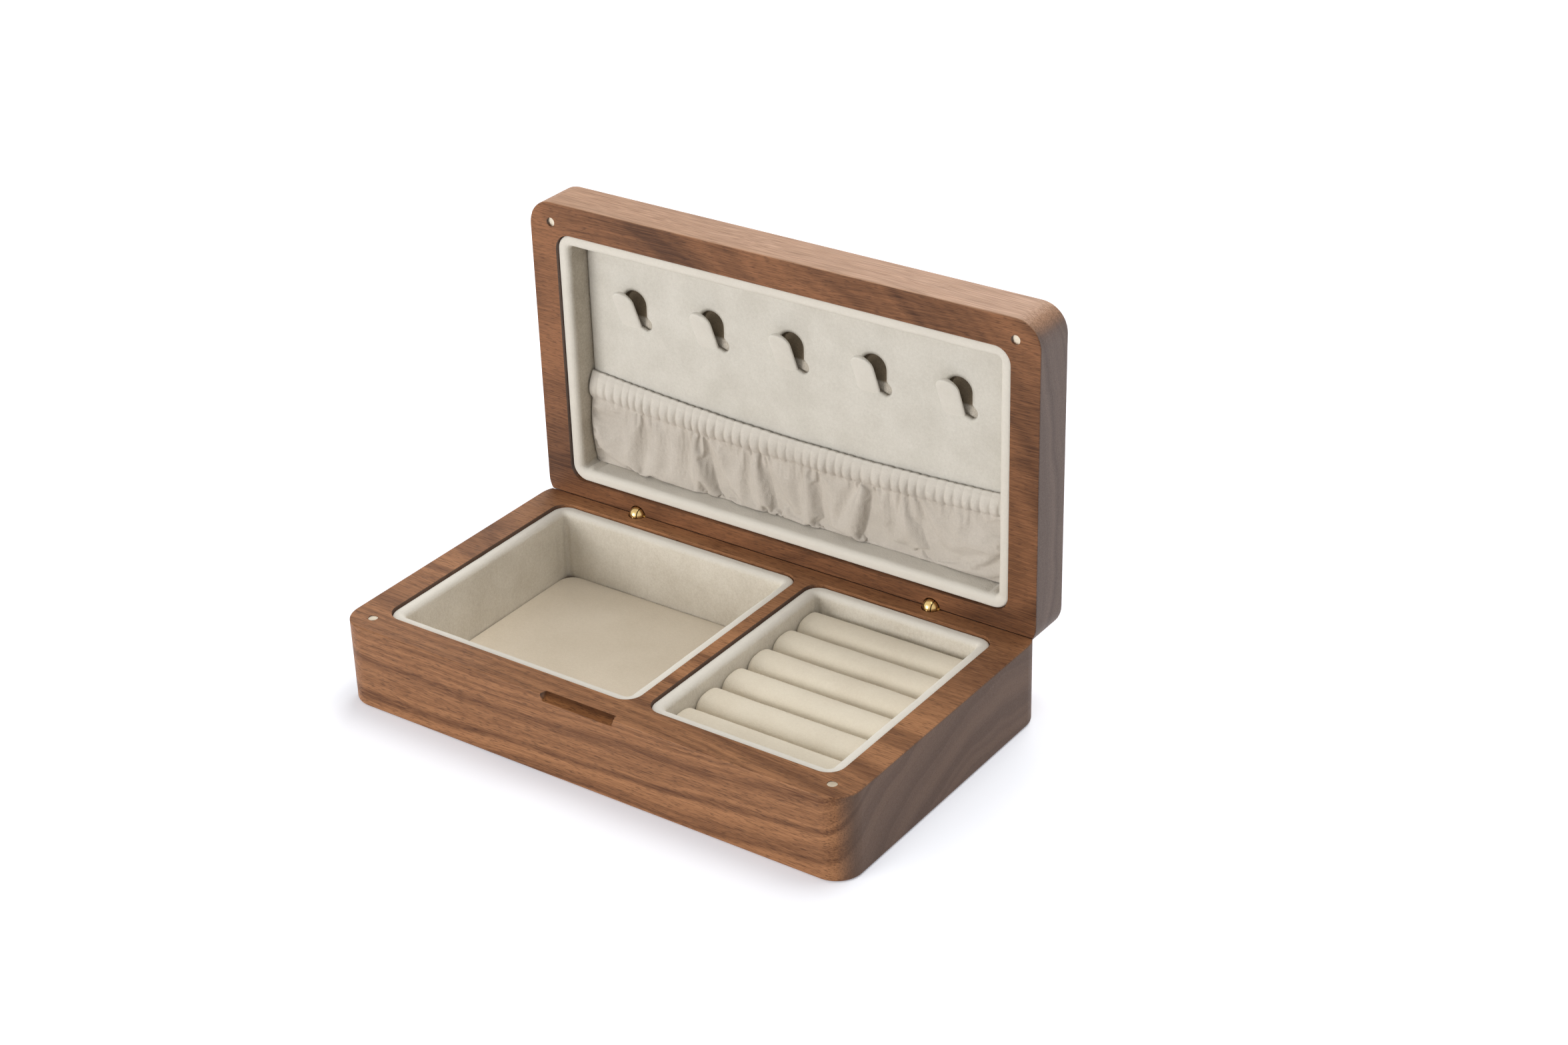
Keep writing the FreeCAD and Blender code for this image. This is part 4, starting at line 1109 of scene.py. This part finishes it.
def make_pocket():
    """The sheet from its foot behind the lower rim to its ruched top edge."""
    skirt = finer(finer(drape_skirt(), SKIRT_FINE_ROWS, 0), POCKET_COLUMNS, 1)
    skirt[..., 1] = -skirt[..., 1]
    across, height = np.meshgrid(np.linspace(-1, 1, POCKET_COLUMNS), np.linspace(0, 1, HEADER_ROWS)[1:])
    stitch, top = pocket_lines(across)
    gathers = ruche(across * POCKET_HALF_WIDTH, np.full_like(height, 0.3))
    scallop = HEM_SCALLOP * (gathers - 1.0) * height**2
    s = stitch + height * (top - stitch) + scallop
    header = np.stack([across * POCKET_HALF_WIDTH, header_out(across, height), s], -1)
    sheet = np.concatenate([skirt, header])
    sheet[..., 1] = np.maximum(sheet[..., 1], CLOTH_THICKNESS + CLOTH_CLEARANCE)
    sheet[..., 2] = np.maximum(sheet[..., 2], POCKET_FLOOR)
    face = np.stack([sheet[..., 0], panel_front - sheet[..., 1], HINGE_Z + sheet[..., 2]], -1)
    face = face.reshape(-1, 3)
    points = np.concatenate([face, face + np.array((0, CLOTH_THICKNESS, 0))])
    faces = sheet_faces(len(sheet), POCKET_COLUMNS)
    nodes = ["gathered_pocket", "pocket_header"]
    piece = add_piece("gathered_pocket", points, faces, "lid", POCKET_VELVET, nodes)


make_pocket()


def make_elastic():
    """A flat woven band behind the ruched header."""
    low, high = node_box("pocket_elastic")
    columns = 170
    rows = 9
    across, height = np.meshgrid(np.linspace(-1, 1, columns), np.linspace(*ELASTIC_SPAN, rows))
    stitch, top = pocket_lines(across)
    x = across * (high[0] - low[0]) / 2
    z = HINGE_Z + stitch + height * (top - stitch)
    gape = pocket_gape(across, height)
    waves = np.cos(2 * np.pi * np.linspace(0, ELASTIC_RIBS, rows))
    ribs = ELASTIC_RIB_DEPTH * waves[:, None]
    face = np.stack([x, low[1] + ELASTIC_INSET - gape + ribs, z], -1).reshape(-1, 3)
    back = np.stack([x, high[1] - gape, z], -1).reshape(-1, 3)
    points = np.concatenate([face, back])
    faces = sheet_faces(rows, columns)
    add_piece("pocket_elastic", points, faces, "lid", ELASTIC, ["pocket_elastic"])


make_elastic()


# Floor, light and camera.


def make_floor():
    """A plain white floor that keeps the box's shadow and is as white far away."""
    mesh = bpy.data.meshes.new("floor")
    reach = 6.0
    corners = [(-reach, -reach, 0), (reach, -reach, 0), (reach, reach, 0), (-reach, reach, 0)]
    mesh.from_pydata(corners, [], [(0, 1, 2, 3)])
    floor = bpy.data.objects.new("floor", mesh)
    bpy.context.scene.collection.objects.link(floor)
    material, tree, shader = new_material("floor")
    shader.inputs["Base Color"].default_value = (0.83, 0.84, 0.87, 1)
    shader.inputs["Roughness"].default_value = 0.9
    shader.inputs["Specular IOR Level"].default_value = 0.0
    shader.inputs["Emission Color"].default_value = (0.83, 0.875, 0.98, 1)
    away = distance(tree, millimetres(tree), (0, 0, 0))
    glow = spread(tree, away, *GLOW_REACH, *FLOOR_GLOW)
    glow = math_node(tree, "MULTIPLY", seen_directly(tree), glow)
    tree.links.new(glow, shader.inputs["Emission Strength"])
    mesh.materials.append(material)


def add_lamp(name, place, aim, size, power, colour):
    """A square soft lamp."""
    lamp = bpy.data.lights.new(name, "AREA")
    lamp.shape = "SQUARE"
    lamp.size = size
    lamp.energy = power
    lamp.color = colour
    stand = bpy.data.objects.new(name, lamp)
    stand.location = place
    stand.rotation_euler = (Vector(aim) - Vector(place)).to_track_quat("-Z", "Y").to_euler()
    bpy.context.scene.collection.objects.link(stand)


def make_light():
    """Soft daylight all round, a key lamp low in front to the left, and lamps above and behind."""
    add_lamp("key", (-0.80, -1.78, 0.38), (0, 0, 0.08), 1.1, 31, (1.0, 0.98, 0.95))
    add_lamp("top", (0.3, 0.45, 1.7), (0, 0, 0.05), 1.0, 17, (1.0, 0.99, 0.97))
    add_lamp("rear", (-0.5, 1.65, 0.95), (0, 0, 0.1), 1.0, 14, (1.0, 0.98, 0.96))
    world = bpy.data.worlds.new("studio")
    bpy.context.scene.world = world
    world.use_nodes = True
    tree = world.node_tree
    seen = seen_directly(tree)
    strength = spread(tree, seen, 0, 1, 0.38, 1.0)
    tree.links.new(strength, tree.nodes["Background"].inputs["Strength"])
    colour = mix_colour(tree, seen, (1.0, 0.985, 0.96, 1), (1, 1, 1, 1))
    tree.links.new(colour, tree.nodes["Background"].inputs["Color"])


def make_camera():
    """The camera that stands where the picture was taken from."""
    lens = bpy.data.cameras.new("camera")
    lens.sensor_width = SENSOR_MM
    lens.lens = LENS_MM
    camera = bpy.data.objects.new("camera", lens)
    camera.location = CAMERA_PLACE
    camera.rotation_euler = [math.radians(angle) for angle in CAMERA_TURN]
    bpy.context.scene.collection.objects.link(camera)
    bpy.context.scene.camera = camera


make_floor()
make_light()
make_camera()
bpy.context.scene.view_settings.view_transform = "Standard"
